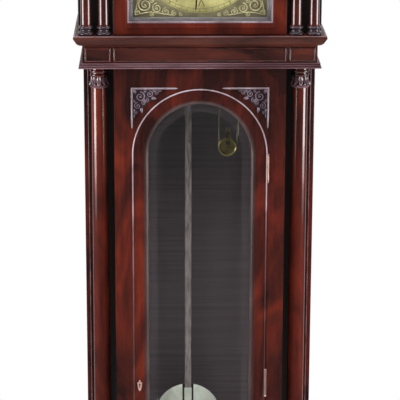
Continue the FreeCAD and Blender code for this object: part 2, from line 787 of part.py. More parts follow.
def make_hood_cornice():
    low = entablature_top - cornice_drop
    height = cornice_drop + cornice_rise
    out = cornice_proud
    profile = [(0, 0), (out * 0.15, 0), (out * 0.15, height * 0.14),
               ((out * 0.3, height * 0.45), (out * 0.68, height * 0.6)), (out * 0.68, height * 0.7),
               ((out * 0.9, height * 0.77), (out, height * 0.9)), (out, height), (0, height)]
    straight, right, left = mitred_run(profile, entablature_half, entablature_y, hood_back_y, low)
    front_y = entablature_y - out
    straight = straight.cut(rod(hood_arch_r, vec(0, front_y, arch_z), vec(0, entablature_y, arch_z)))
    foot_r = hood_arch_r - cornice_drop

    def place(point):
        return vec(foot_r + point[1], entablature_y - point[0], arch_z)
    steps = []
    for step in profile:
        steps.append(tuple(place(p) for p in step) if isinstance(step[0], tuple) else place(step))
    arch = Part.Face(path_wire(steps)).revolve(vec(0, 0, arch_z), vec(0, -1, 0), 180)
    span = hood_arch_r + height
    arch = arch.common(board(-span, span, front_y, entablature_y, low, arch_z + span))
    save("hood_cornice", joined(arch, *straight.Solids), right, left)


def make_hood_columns():
    height = entablature_bottom - hood_floor
    r = hood_column_r
    big = hood_column_base_r
    base_h = hood_column_base_height
    cap = height - hood_capital_height
    cap_h = hood_capital_height
    profile = [(big, 0), ((big, base_h * 0.12), (big * 0.9, base_h * 0.24)), (r * 1.1, base_h * 0.4),
               ((r * 1.05, base_h * 0.55), (r * 1.2, base_h * 0.68)),
               ((big * 0.97, base_h * 0.84), (r * 1.2, base_h)),
               (r, base_h), (r * 0.9, cap), ((r * 1.2, cap + cap_h * 0.06), (r * 0.9, cap + cap_h * 0.12)),
               (r * 0.95, cap + cap_h * 0.22), ((r * 1.1, cap + cap_h * 0.4), (r * 1.15, cap + cap_h * 0.66)),
               ((big * 0.97, cap + cap_h * 0.74), (r * 1.15, cap + cap_h * 0.82)),
               (big * 0.93, cap + cap_h * 0.84), (big * 0.93, height)]
    columns = []
    for x in (hood_outer_column_x, hood_inner_column_x):
        columns.extend(both(turned(profile, x, hood_column_y, hood_floor)))
    save("hood_columns", *columns)


def finial(x, y, z):
    half = finial_block / 2
    block_h = finial_block * 0.5
    urn_h = finial_height - block_h
    block = board(x - half, x + half, y - half, y + half, z, z + block_h)
    profile = [(half * 0.7, 0), ((half * 0.35, urn_h * 0.08), (half * 0.4, urn_h * 0.16)),
               ((half * 1.05, urn_h * 0.36), (half * 0.55, urn_h * 0.56)),
               ((half * 0.3, urn_h * 0.6), (half * 0.36, urn_h * 0.66)),
               ((half * 0.42, urn_h * 0.76), (half * 0.1, urn_h * 0.96)),
               ((half * 0.06, urn_h * 0.99), (half * 0.02, urn_h))]
    return joined(block, turned(profile, x, y, z + block_h))


def make_hood_finials():
    y = (entablature_y + hood_frame_back_y) / 2
    x = entablature_half - finial_block / 2 - entablature_overlap
    crown = arch_z + math.sqrt(hood_arch_r ** 2 - (finial_block / 2) ** 2)
    top = finial(0, y, crown)
    top = top.cut(rod(hood_arch_r, vec(0, entablature_y, arch_z), vec(0, hood_frame_back_y, arch_z)))
    save("hood_finials", top, *both(finial(x, y, entablature_top)))


def make_dial_door():
    y0 = dial_door_y
    y1 = dial_door_back_y
    view_half = dial_door_opening_half
    view_bottom = dial_square_bottom - mask_strip
    frame = break_arch(dial_door_half, dial_door_bottom, door_shoulder, arch_z, door_outer_r, y0, y1)
    ring = break_arch(view_half + door_bead_width, view_bottom - door_bead_width,
                      door_view_shoulder + door_bead_width, arch_z, door_view_r + door_bead_width,
                      y0 - bead_proud, y0)
    frame = joined(frame, ring)
    frame = frame.cut(break_arch(view_half, view_bottom, door_view_shoulder, arch_z, door_view_r,
                                 y0 - bead_proud, y1))
    glass_y = (y0 + y1) / 2
    frame = frame.cut(break_arch(view_half + dial_glass_overlap, view_bottom - dial_glass_overlap,
                                 door_view_shoulder + dial_glass_overlap, arch_z,
                                 door_view_r + dial_glass_overlap, glass_y, y1))
    pins = []
    for floor, way, gap in ((hood_floor, 1, dial_door_floor_gap), (entablature_bottom, -1, door_arch_gap)):
        start = vec(pivot_x, pivot_y, floor)
        pins.append(joined(rod(pivot_flange_r, start, start + vec(0, 0, way * (gap - glass_gap))),
                           rod(pivot_r, start, start + vec(0, 0, way * pivot_length))))
        reach = vec(0, 0, way * (pivot_length + glass_gap))
        frame = frame.cut(rod(pivot_r + pin_gap, start, start + reach))
    save("hood_door_pivots", *pins)
    save("hood_door_frame", frame)
    grow = dial_glass_overlap - glass_gap
    pane_y = glass_y + glass_gap
    save("hood_door_glass", break_arch(view_half + grow, view_bottom - grow, door_view_shoulder + grow,
                                       arch_z, door_view_r + grow, pane_y, pane_y + dial_glass_thickness))


def make_dial():
    dial_half = dial_view_half + dial_plate_margin
    plate = break_arch(dial_half, dial_square_bottom - dial_plate_margin, dial_square_top + dial_plate_margin,
                       arch_z, dial_arch_view_r + dial_plate_margin, dial_y, dial_back_y)
    holes = [rod(hour_pipe_r + glass_gap, vec(0, dial_y, dial_centre_z), vec(0, dial_back_y, dial_centre_z))]
    for x in (-barrel_x, barrel_x):
        hole_r = barrel_arbor_r + winding_hole_gap
        holes.append(rod(hole_r, vec(x, dial_y, barrel_z), vec(x, dial_back_y, barrel_z)))
    feet = []
    for x in (pillar_side_inset - plate_half, plate_half - pillar_side_inset):
        for z in (movement_foot + pillar_inset, movement_top - pillar_inset):
            feet.append(rod(dial_foot_r, vec(x, dial_back_y, z), vec(x, front_plate_y, z)))
    save("dial_plate", joined(plate.cut(holes), *feet))
    centre = vec(0, dial_y - chapter_thickness, dial_centre_z)
    front = vec(0, dial_y, dial_centre_z)
    save("chapter_ring", rod(chapter_outer_r, centre, front).cut(rod(chapter_inner_r, centre, front)))
    reach = dial_view_half - dial_ornament_edge
    ring_r = chapter_outer_r + dial_ornament_ring_gap
    short = reach * 0.36
    chord = math.sqrt(ring_r ** 2 - short ** 2)
    bend = ring_r / math.sqrt(2)
    y = dial_y - dial_ornament_thickness
    ornaments = []
    for turn in range(4):
        points = [vec(reach, y, reach), vec(reach, y, short), vec(chord, y, short),
                  (vec(bend, y, bend), vec(short, y, chord)), vec(short, y, reach)]
        corner = slab(points, y, dial_y)
        corner.rotate(vec(0, 0, 0), vec(0, 1, 0), 90 * turn)
        corner.translate(vec(0, 0, dial_centre_z))
        ornaments.append(corner)
    boss_z = arch_z + dial_arch_view_r - arch_boss_r - arch_boss_edge
    ornaments.append(rod(arch_boss_r, vec(0, y, boss_z), vec(0, dial_y, boss_z)))
    save("dial_ornaments", *ornaments)


def hand(length, root, tip, y, angle):
    # A tapering blade on a round collet, turned clockwise from upright as seen from the front
    blade = [vec(-root, y, 0), vec(-tip, y, length * 0.94), vec(0, y, length), vec(tip, y, length * 0.94),
             vec(root, y, 0), vec(root * 0.8, y, -length * 0.16), vec(-root * 0.8, y, -length * 0.16)]
    shape = joined(slab(blade, y, y + hand_thickness),
                   rod(root * 2.2, vec(0, y, 0), vec(0, y + hand_thickness, 0)))
    shape.rotate(vec(0, 0, 0), vec(0, 1, 0), angle)
    shape.translate(vec(0, 0, dial_centre_z))
    return shape


def make_hands():
    hour_y = dial_y - hour_hand_lift - hand_thickness
    minute_y = dial_y - minute_hand_lift - hand_thickness
    bore = along_y(arbor_r + running_gap, 0, dial_centre_z, minute_y, front_plate_y)
    pipe = along_y(hour_pipe_r, 0, dial_centre_z, hour_y, front_plate_y - side_gap)
    wheel_y = front_plate_y - dial_foot_length * 0.4
    wheel = along_y(hour_wheel_r, 0, dial_centre_z, wheel_y, wheel_y + plate_thickness)
    hour = hand(hour_hand_length, hour_hand_root, hour_hand_tip, hour_y, hour_hand_angle)
    save("hour_hand", joined(hour, pipe, wheel).cut(bore))
    arbor = along_y(arbor_r, 0, dial_centre_z, minute_y - arbor_proud, centre_arbor_end_y)
    minute = hand(minute_hand_length, minute_hand_root, minute_hand_tip, minute_y, minute_hand_angle)
    save("minute_hand", joined(minute, arbor))


def make_movement():
    frame = []
    holes = []
    for x in (-barrel_x, barrel_x):
        holes.append(along_y(barrel_arbor_r + running_gap, x, barrel_z, front_plate_y, movement_back_y))
    holes.append(along_y(arbor_r + running_gap, 0, dial_centre_z, front_plate_y, inner_front_y))
    holes.append(along_y(arbor_r * 3, pendulum_x, pivot_z, back_plate_y, movement_back_y))
    holes.append(along_y(arbor_r + running_gap, hammer_x, hammer_z, back_plate_y, movement_back_y))
    for y in (front_plate_y, back_plate_y):
        plate = board(-plate_half, plate_half, y, y + plate_thickness, movement_foot, movement_top)
        frame.append(plate.cut(holes))
    for x in (pillar_side_inset - plate_half, plate_half - pillar_side_inset):
        for z in (movement_foot + pillar_inset, movement_top - pillar_inset):
            frame.append(rod(pillar_r, vec(x, inner_front_y, z), vec(x, back_plate_y, z)))
    cock = board(pendulum_x - cock_half, pendulum_x + cock_half, cock_y, cock_y + plate_thickness,
                 pivot_z - cock_half, cock_top)
    cock = cock.cut(along_y(arbor_r + running_gap, pendulum_x, pivot_z, cock_y, cock_y + plate_thickness))
    legs = []
    for x in (pendulum_x - cock_half, pendulum_x + cock_half - cock_leg):
        legs.append(board(x, x + cock_leg, movement_back_y, cock_y, pivot_z - cock_half, cock_top))
    arm = board(pendulum_x - cock_half, pendulum_x + cock_half, cock_y + plate_thickness,
                pendulum_y + rod_thickness, cock_top - cock_arm, cock_top)
    slot = board(pendulum_x - spring_slot, pendulum_x + spring_slot, cock_y + plate_thickness,
                 pendulum_y + rod_thickness, cock_top - cock_arm, cock_top)
    frame.append(joined(cock, arm, *legs).cut(slot))
    save("movement_frame", *frame)

    barrels = []
    for x in (barrel_x, -barrel_x):
        drum_y = inner_front_y + side_gap
        wheel_y = back_plate_y - side_gap - plate_thickness
        drum = along_y(barrel_r, x, barrel_z, drum_y, wheel_y)
        flanges = []
        for y in (drum_y, wheel_y - 2 * plate_thickness):
            flanges.append(along_y(barrel_flange_r, x, barrel_z, y, y + wheel_rim))
        wheel = along_y(great_wheel_r, x, barrel_z, wheel_y, wheel_y + plate_thickness)
        arbor = along_y(barrel_arbor_r, x, barrel_z, dial_y - winding_square, movement_back_y)
        barrels.append(joined(drum, wheel, arbor, *flanges))
    save("going_barrel", barrels[0])
    save("strike_barrel", barrels[1])

    places = [(0, dial_centre_z, centre_wheel_r, front_plate_y + centre_wheel_depth, centre_arbor_end_y),
              (pendulum_x, escape_z, escape_r, anchor_y, inner_front_y)]
    for x, rise, r, depth in train_places:
        places.append((x, movement_foot + rise, r, front_plate_y + depth, inner_front_y))
    wheels = []
    for x, z, r, y, start_y in places:
        arbor = along_y(arbor_r, x, z, start_y, back_plate_y)
        wheels.append(joined(along_y(r, x, z, y, y + wheel_rim), arbor))
    save("train_wheels", *wheels)

    arbor = along_y(arbor_r, pendulum_x, pivot_z, inner_front_y + side_gap, cock_y + plate_thickness)
    pallet_x = escape_r + pallet_gap
    anchor_front = anchor_y - anchor_lip
    anchor_back = anchor_y + plate_thickness
    beam_half = pallet_x + pallet_width
    beam = board(pendulum_x - beam_half, pendulum_x + beam_half, anchor_front, anchor_back,
                 pivot_z - 2 * arbor_r, pivot_z + 2 * arbor_r)
    arms = []
    for x in (pendulum_x - beam_half, pendulum_x + pallet_x):
        arms.append(board(x, x + pallet_width, anchor_front, anchor_back, escape_z + escape_r * 0.4, pivot_z))
    crutch_y = movement_back_y + crutch_gap
    crutch_back = crutch_y + crutch_thickness
    fork_z = pivot_z - crutch_length
    fork_low = fork_z - fork_half_height
    fork_high = fork_z + fork_half_height
    fork_half = rod_width / 2 + rod_gap
    fork_out = fork_half + prong_width
    stem = board(pendulum_x - crutch_half, pendulum_x + crutch_half, crutch_y, crutch_back, fork_z, pivot_z)
    fork = board(pendulum_x - fork_out, pendulum_x + fork_out, crutch_y, crutch_back, fork_low, fork_high)
    prong_end = pendulum_y + rod_thickness / 2
    prongs = []
    for x in (pendulum_x - fork_out, pendulum_x + fork_half):
        prongs.append(board(x, x + prong_width, crutch_back, prong_end, fork_low, fork_high))
    save("anchor_crutch", joined(arbor, beam, stem, fork, *arms, *prongs))


def make_seat():
    seat_back_y = seat_front_y + cheek_depth
    cheek_x = trunk_half - side_board
    cheek = board(cheek_x - side_board, cheek_x, niche_back_y + side_board, seat_back_y,
                  seat_board_bottom - cheek_drop, seat_board_bottom)
    seat = board(-seat_board_half, seat_board_half, seat_front_y, seat_back_y,
                 seat_board_bottom, movement_foot)
    for x in (pulley_x + line_offset, -pulley_x - line_offset):
        seat = seat.cut(board(x - line_hole_half, x + line_hole_half, line_y - line_hole_half_depth,
                              line_y + line_hole_half_depth, seat_board_bottom, movement_foot))
    save("seat_board", seat, *both(cheek))


def make_pendulum():
    half_w = rod_width / 2
    half_t = rod_thickness / 2
    bob_low = bob_z - bob_r
    nut_top = bob_low - rod_gap
    nut_low = nut_top - nut_height
    rod_top = pivot_z - spring_length
    strip = board(pendulum_x - half_w, pendulum_x + half_w, pendulum_y - half_t, pendulum_y + half_t,
                  bob_low, rod_top)

    def upright(r, z0, z1):
        return rod(r, vec(pendulum_x, pendulum_y, z0), vec(pendulum_x, pendulum_y, z1))
    save("pendulum_rod", joined(strip, upright(rating_screw_r, nut_low - nut_height, bob_low)))
    lens_r = (bob_r ** 2 + (bob_thickness / 2) ** 2) / bob_thickness
    front = Part.makeSphere(lens_r, vec(pendulum_x, pendulum_y + lens_r - bob_thickness / 2, bob_z))
    rear = Part.makeSphere(lens_r, vec(pendulum_x, pendulum_y - lens_r + bob_thickness / 2, bob_z))
    bob = front.common(rear)
    # The rod lies in a channel down the front of the bob
    channel_half = bob_channel / 2
    bob = bob.cut(board(pendulum_x - channel_half, pendulum_x + channel_half, pendulum_y - bob_thickness,
                        pendulum_y + half_t + rod_gap, bob_low, bob_z + bob_r))
    save("pendulum_bob", bob)
    spring = board(pendulum_x - spring_half, pendulum_x + spring_half, pendulum_y - half_t,
                   pendulum_y + half_t, rod_top, cock_top + chop_height)
    chop = board(pendulum_x - chop_half, pendulum_x + chop_half, pendulum_y - half_t, pendulum_y + half_t,
                 cock_top + rod_gap, cock_top + chop_height)
    nut = upright(nut_r, nut_low, nut_top).cut(upright(rating_screw_r + pin_gap, nut_low, nut_top))
    save("pendulum_fittings", joined(spring, chop), nut)


def make_pulley(name, x, z):
    axis = vec(x, line_y, z)
    half = pulley_wheel_width / 2
    depth = vec(0, half, 0)
    wheel = rod(pulley_wheel_r, axis - depth, axis + depth)
    groove = vec(0, groove_width / 2, 0)
    rim = rod(pulley_wheel_r, axis - groove, axis + groove)
    wheel = wheel.cut(rim.cut(rod(pulley_wheel_r - groove_depth, axis - groove, axis + groove)))
    axle_r = hook_wire_r
    wheel = wheel.cut(rod(axle_r + running_gap, axis - depth, axis + depth))
    save(name + "_pulley_wheel", wheel)
    inner = half + side_gap
    outer = inner + stirrup_thickness
    top = z + stirrup_reach - stirrup_neck
    half_width = stirrup_width / 2
    pieces = []
    for low, high in ((-outer, -inner), (inner, outer)):
        pieces.append(board(x - half_width, x + half_width, line_y + low, line_y + high, z - half_width, top))
    bridge = board(x - half_width, x + half_width, line_y - outer, line_y + outer,
                   top, top + stirrup_thickness)
    axle = rod(axle_r, axis - vec(0, outer, 0), axis + vec(0, outer, 0))
    eye_z = z + stirrup_reach
    neck = rod(hook_wire_r, vec(x, line_y, top), vec(x, line_y, eye_z - stirrup_eye_r))
    eye = Part.makeTorus(stirrup_eye_r, hook_wire_r * 0.8, vec(x, line_y, eye_z), vec(0, 1, 0))
    save(name + "_pulley", joined(bridge, axle, neck, eye, *pieces))


def make_line(name, x, z, outer_way):
    # Down from the barrel, round the wheel and up to the seat board
    start = vec(x + outer_way * line_offset, line_y, barrel_z)
    low = vec(start.x, line_y, z)
    turn = (vec(x, line_y, z - line_offset), vec(x - outer_way * line_offset, line_y, z))
    end = vec(x - outer_way * line_offset, line_y, seat_board_bottom - rod_gap)
    edges = [Part.LineSegment(start, low).toShape(), Part.Arc(low, turn[0], turn[1]).toShape(),
             Part.LineSegment(turn[1], end).toShape()]
    section = Part.Wire([Part.makeCircle(line_r, start, vec(0, 0, 1))])
    line = Part.Wire(edges).makePipeShell([section], True, False)
    length = sum(e.Length for e in edges)
    share = line.Volume / (math.pi * line_r ** 2 * length)
    print(name, "line", round(length, 1), "mm, volume share", round(share, 4))
    save(name + "_line", line)


def make_weights():
    floor = floor_height + floor_board_thickness
    axis = vec(weight_x, line_y, floor)
    body = rod(weight_r, axis, axis + vec(0, 0, weight_height))
    rims = [e for e in body.Edges if e.Curve.TypeId == "Part::GeomCircle"]
    body = body.makeFillet(weight_rounding, rims)
    eye_centre = axis + vec(0, 0, weight_height + weight_eye_rise)
    eye = Part.makeTorus(weight_eye_r, hook_wire_r, eye_centre, vec(0, 1, 0))
    save("weights", *both(joined(body, eye)))


def make_bell():
    rim_z = movement_top + bell_lift
    y = movement_back_y - plate_thickness / 2
    top = rim_z + bell_height
    outer = [(bell_r, 0), ((bell_r * 0.86, bell_height * 0.66), (bell_r * 0.3, bell_height))]
    wall = bell_wall
    inner = [(bell_r - wall, 0), ((bell_r * 0.86 - wall, bell_height * 0.66 - wall),
                                  (bell_r * 0.3, bell_height - wall))]
    bell = turned(outer, bell_x, y, rim_z).cut(turned(inner, bell_x, y, rim_z))
    stand = rod(bell_stand_r, vec(bell_x, y, movement_top), vec(bell_x, y, top - wall))
    save("bell", bell, stand)
    arm_y = movement_back_y + hammer_arm_gap
    head_z = rim_z + bell_height * 0.2
    arbor = along_y(arbor_r, hammer_x, hammer_z, back_plate_y - plate_thickness, arm_y + hammer_arm)
    half_arm = hammer_arm / 2
    arm = board(hammer_x - half_arm, hammer_x + half_arm, arm_y, arm_y + hammer_arm, hammer_z, head_z)
    head_centre = vec(hammer_x, arm_y + half_arm, head_z)
    head = rod(hammer_r, head_centre - vec(hammer_half, 0, 0), head_centre + vec(hammer_half, 0, 0))
    save("strike_hammer", joined(arbor, arm, head))


make_base()
make_trunk()
make_trunk_columns()
make_trunk_ornament()
make_trunk_door()
make_hood_carcass()
make_hood_cornice()
make_hood_columns()
make_hood_finials()
make_dial_door()
make_dial()
make_hands()
make_movement()
make_seat()
make_pendulum()
make_pulley("going", pulley_x, going_pulley_z)
make_pulley("strike", -pulley_x, strike_pulley_z)
make_line("going", pulley_x, going_pulley_z, 1)
make_line("strike", -pulley_x, strike_pulley_z, -1)
make_weights()
make_bell()
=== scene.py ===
import json
import math

import bmesh
import bpy
from mathutils import Matrix, Vector

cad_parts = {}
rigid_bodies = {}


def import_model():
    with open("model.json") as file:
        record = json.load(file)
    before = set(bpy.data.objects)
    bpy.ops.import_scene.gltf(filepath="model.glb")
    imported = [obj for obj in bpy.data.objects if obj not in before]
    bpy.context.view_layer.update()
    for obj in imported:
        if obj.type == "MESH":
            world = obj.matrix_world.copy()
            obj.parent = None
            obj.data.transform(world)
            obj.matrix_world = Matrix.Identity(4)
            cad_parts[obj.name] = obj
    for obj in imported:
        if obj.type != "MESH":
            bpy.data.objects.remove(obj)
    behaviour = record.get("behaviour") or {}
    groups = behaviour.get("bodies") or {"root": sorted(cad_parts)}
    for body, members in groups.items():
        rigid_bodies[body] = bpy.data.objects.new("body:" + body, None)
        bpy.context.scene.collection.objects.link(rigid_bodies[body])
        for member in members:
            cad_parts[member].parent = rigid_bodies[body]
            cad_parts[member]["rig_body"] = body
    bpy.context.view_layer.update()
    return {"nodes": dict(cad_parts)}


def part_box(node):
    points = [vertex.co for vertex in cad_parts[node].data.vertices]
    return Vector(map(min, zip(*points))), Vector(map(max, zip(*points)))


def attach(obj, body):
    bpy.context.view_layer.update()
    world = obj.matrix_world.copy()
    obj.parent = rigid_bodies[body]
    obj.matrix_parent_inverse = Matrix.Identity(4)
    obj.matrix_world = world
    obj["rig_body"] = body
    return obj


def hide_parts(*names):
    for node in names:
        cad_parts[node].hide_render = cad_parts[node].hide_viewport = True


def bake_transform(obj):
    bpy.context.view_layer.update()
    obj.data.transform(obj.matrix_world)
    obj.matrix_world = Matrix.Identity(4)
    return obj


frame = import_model()
mm = 0.001  # every size below is in millimetres, Blender works in metres
nodes = frame["nodes"]
print("frame loaded,", len(nodes), "pieces of construction")


def linear(code):  # sRGB hex to linear RGBA
    channels = [int(code[i:i + 2], 16) / 255 for i in (1, 3, 5)]
    return [c / 12.92 if c <= 0.04045 else ((c + 0.055) / 1.055) ** 2.4 for c in channels] + [1.0]


def put(tree, kind, inputs=None, stops=None, **settings):
    node = tree.nodes.new("ShaderNode" + kind)
    for name, value in settings.items():
        setattr(node, name, value)
    for socket, value in (inputs or {}).items():
        if isinstance(value, bpy.types.NodeSocket):
            tree.links.new(value, node.inputs[socket])
        else:
            node.inputs[socket].default_value = value
    if stops:
        ramp = node.color_ramp.elements
        while len(ramp) < len(stops):
            ramp.new(1.0)
        for stop, (at, colour) in zip(ramp, stops):
            stop.position = at
            stop.color = linear(colour) if isinstance(colour, str) else (colour, colour, colour, 1)
    return node


def newFinish(name, **surface):
    material = bpy.data.materials.new(name)
    material.use_nodes = True
    tree = material.node_tree
    skin = tree.nodes["Principled BSDF"]
    for socket, value in surface.items():
        skin.inputs[socket.replace("_", " ")].default_value = value
    return material, tree, skin


def pattern(tree, size, detail, warp=0.0):  # noise stretched to a size in mm along X, Y and Z
    where = put(tree, "TexCoord").outputs["Object"]
    stretch = put(tree, "Mapping", {"Vector": where, "Scale": [1 / (s * mm) for s in size]})
    return put(tree, "TexNoise", {"Vector": stretch.outputs["Vector"], "Scale": 1.0, "Detail": detail,
               "Roughness": 0.55, "Distortion": warp}).outputs["Fac"]


def paint(tree, skin, colour, height, strength, depth):  # a surface's colour and fine relief, its depth in mm
    bump = put(tree, "Bump", {"Height": height, "Strength": strength, "Distance": depth * mm})
    tree.links.new(colour, skin.inputs["Base Color"])
    tree.links.new(bump.outputs["Normal"], skin.inputs["Normal"])


# French-polished flame mahogany: a deep glassy coat over red plumes, dark clouds and long fine pores
mahoganyLook = {
    "plume": (-75, 75, 210), "plumeWarp": 1.4, "streak": (5.0, 5.0, 120), "streaky": 0.18,
    "pore": (0.9, 0.9, 14), "poreDark": [(0.28, 0.7), (0.40, 1.0)], "poreDepth": 0.3,  # coarser than life
    "roughness": 0.5, "tall": 2400,
}
# Painted shade: how far down its figure the wood is darkened, by height, most towards the foot and the top of
# the trunk
trunkShade = [(450, 0.10), (900, 0.07), (1250, 0.0), (1450, 0.0), (1600, 0.07), (1720, 0.20)]
beadShade = [(900, 0.40), (1250, 0.34), (1400, 0.19), (1540, 0.0)]  # painted highlight: pale only round the arch, darker lower down
figures = {  # from the dark of the figure to its bright
    "plain": [(0.30, "#230e0c"), (0.45, "#3b1611"), (0.58, "#531d14"), (0.72, "#692718"), (0.86, "#7f341b")],
    "deep": [(0.30, "#1a0908"), (0.45, "#30110e"), (0.58, "#431712"), (0.72, "#571f15"), (0.86, "#6d2b18")],
    "even": [(0.30, "#34110d"), (0.58, "#551d13"), (0.86, "#7a301a")],
    "dusky": [(0.30, "#1d0e0d"), (0.45, "#321815"), (0.58, "#45211c"), (0.72, "#582920"), (0.86, "#6b3422")],
    # the wood's tone with a painted veil of reflected light
    "brown": [(0.30, "#28130f"), (0.50, "#41201a"), (0.75, "#5a3025")],
    # pale lilac: a painted sheen
    "paintedSheen": [(0.30, "#432a2e"), (0.50, "#62464b"), (0.75, "#84676d")],
    # pale: a painted highlight
    "paintedHighlight": [(0.30, "#553a3f"), (0.50, "#7d6066"), (0.75, "#a0848b")],
    # pale lilac: a painted highlight
    "relief": [(0.30, "#41333b"), (0.50, "#665660"), (0.75, "#8c7e88")],
    # lilac: a painted sheen on the capital leaves
    "paintedLeafSheen": [(0.30, "#2e1b1f"), (0.50, "#493138"), (0.75, "#6b515a")],
    # its pale end is a painted highlight on the door bead
    "fading": [(0.15, "#3b1611"), (0.30, "#63363a"), (0.45, "#8c767d"), (0.70, "#b3a3aa")],
    # pale: a painted highlight on the applied beads
    "pale": [(0.30, "#57464c"), (0.50, "#7a6970"), (0.75, "#9c8d95")],
    "dull": [(0.30, "#241615"), (0.50, "#382524"), (0.75, "#4f3a38")],
    # dark with a lilac tint: a painted sheen, and in hollows painted shade
    "lilac": [(0.30, "#170d10"), (0.50, "#2b1e24"), (0.75, "#45353f")],
}


def mahogany(name, grain, figure="plain", coatRoughness=0.07, shade=None, coat=1.0):
    look = mahoganyLook
    material, tree, skin = newFinish(name, Roughness=look["roughness"], Specular_IOR_Level=0.05, IOR=1.45,
                                     Coat_Weight=coat, Coat_Roughness=coatRoughness, Coat_IOR=1.5)

    def along(size):  # the long way of the figure follows the board's grain
        short, middle, tall = size
        return {"Z": (short, middle, tall), "X": (tall, middle, short), "Y": (short, tall, middle)}[grain]

    plume = pattern(tree, along(look["plume"]), detail=3.0, warp=look["plumeWarp"])
    streak = pattern(tree, along(look["streak"]), detail=2.0)
    pore = pattern(tree, along(look["pore"]), detail=1.0)
    lean = put(tree, "Math", {0: streak, 1: 0.5}, operation="SUBTRACT").outputs[0]
    veneer = put(tree, "Math", {0: lean, 1: look["streaky"], 2: plume}, operation="MULTIPLY_ADD").outputs[0]
    # painted shade: the figure is darkened by height
    if shade:
        where = put(tree, "TexCoord").outputs["Object"]
        height = put(tree, "SeparateXYZ", {"Vector": where}).outputs["Z"]
        share = put(tree, "Math", {0: height, 1: look["tall"] * mm}, operation="DIVIDE").outputs[0]
        steps = [(z / look["tall"], down) for z, down in shade]
        darker = put(tree, "ValToRGB", {"Fac": share}, stops=steps).outputs["Color"]
        veneer = put(tree, "Math", {0: veneer, 1: darker}, operation="SUBTRACT").outputs[0]
    colour = put(tree, "ValToRGB", {"Fac": veneer}, stops=figures[figure]).outputs["Color"]
    dark = put(tree, "ValToRGB", {"Fac": pore}, stops=look["poreDark"]).outputs["Color"]
    mix = put(tree, "Mix", {"Factor": 1.0, 6: colour, 7: dark}, data_type="RGBA",
              blend_type="MULTIPLY").outputs[2]
    paint(tree, skin, mix, pore, strength=0.05, depth=look["poreDepth"])
    return material


# Plain wood that was only planed and oiled: dull, with a straight brown grain
def plainWood(name, dark, light, grain=(14, 14, 220), roughness=0.6):
    material, tree, skin = newFinish(name, Roughness=roughness)
    figure = pattern(tree, grain, detail=4.0, warp=0.4)
    colour = put(tree, "ValToRGB", {"Fac": figure}, stops=[(0.35, dark), (0.65, light)])
    paint(tree, skin, colour.outputs["Color"], figure, strength=0.15, depth=0.6)
    return material


# Metals keep their default IOR; tarnish clouds the colour and the polish together
def metal(name, dark, light, roughness, cloud=26, gritty=0.03, bare=1.0):
    material, tree, skin = newFinish(name, Metallic=bare)  # a lacquered or silvered skin is less bare
    tarnish = pattern(tree, [cloud] * 3, detail=5.0)
    colour = put(tree, "ValToRGB", {"Fac": tarnish}, stops=[(0.32, dark), (0.62, light)])
    polish = put(tree, "MapRange", {"Value": tarnish, "From Min": 0.3, "From Max": 0.7,
                 "To Min": roughness * 1.35, "To Max": roughness * 0.8}).outputs["Result"]
    tree.links.new(polish, skin.inputs["Roughness"])
    grit = pattern(tree, [0.7] * 3, detail=1.0)
    paint(tree, skin, colour.outputs["Color"], grit, strength=gritty, depth=0.4)
    return material


# Clear plate glass: sharp reflections over what stands behind, and on a bevel a faint grey diffuse layer, a
# painted reflection
def plateGlass(name, tint, veil=0.0):
    material, tree, skin = newFinish(name, Base_Color=linear(tint), Roughness=0.0, IOR=1.48,
                                     Transmission_Weight=1.0)
    clear = put(tree, "BsdfTransparent", {"Color": linear(tint)})
    # painted reflection: a faint grey diffuse layer on the bevel
    paintedReflection = put(tree, "BsdfDiffuse", {"Color": linear("#bdb2b6")})
    pane = put(tree, "MixShader", {0: veil, 1: skin.outputs["BSDF"], 2: paintedReflection.outputs["BSDF"]})
    ray = put(tree, "LightPath").outputs["Is Shadow Ray"]  # light passes straight through the pane
    both = put(tree, "MixShader", {0: ray, 1: pane.outputs["Shader"], 2: clear.outputs["BSDF"]})
    tree.links.new(both.outputs["Shader"], tree.nodes["Material Output"].inputs["Surface"])
    return material


# Dial sheet: brass, bright and yellow inside the hour ring, darker further out under the corner castings
dialLook = {"centre": (0, -58.5, 1945), "reach": 250, "matting": (0.8, 0.8, 0.8),
            "spots": (18, 18, 18), "spotDark": [(0.30, 0.62), (0.58, 1.0)],
            "tints": [(0.0, "#beb584"), (0.40, "#aca376"), (0.47, "#948b65"), (0.51, "#81785c"),
                      (1.0, "#71684f")]}


def dialSheet(name, look):
    material, tree, skin = newFinish(name, Metallic=0.5, Roughness=0.45)
    where = put(tree, "TexCoord").outputs["Object"]
    away = put(tree, "VectorMath", {0: where, 1: [c * mm for c in look["centre"]]},
               operation="DISTANCE").outputs["Value"]
    share = put(tree, "Math", {0: away, 1: look["reach"] * mm}, operation="DIVIDE").outputs[0]
    sheet = put(tree, "ValToRGB", {"Fac": share}, stops=look["tints"]).outputs["Color"]
    cloud = pattern(tree, look["spots"], detail=5.0)
    spots = put(tree, "ValToRGB", {"Fac": cloud}, stops=look["spotDark"]).outputs["Color"]
    mix = put(tree, "Mix", {"Factor": 1.0, 6: sheet, 7: spots}, data_type="RGBA",
              blend_type="MULTIPLY").outputs[2]
    paint(tree, skin, mix, pattern(tree, look["matting"], detail=1.0), strength=0.25, depth=0.3)
    return material


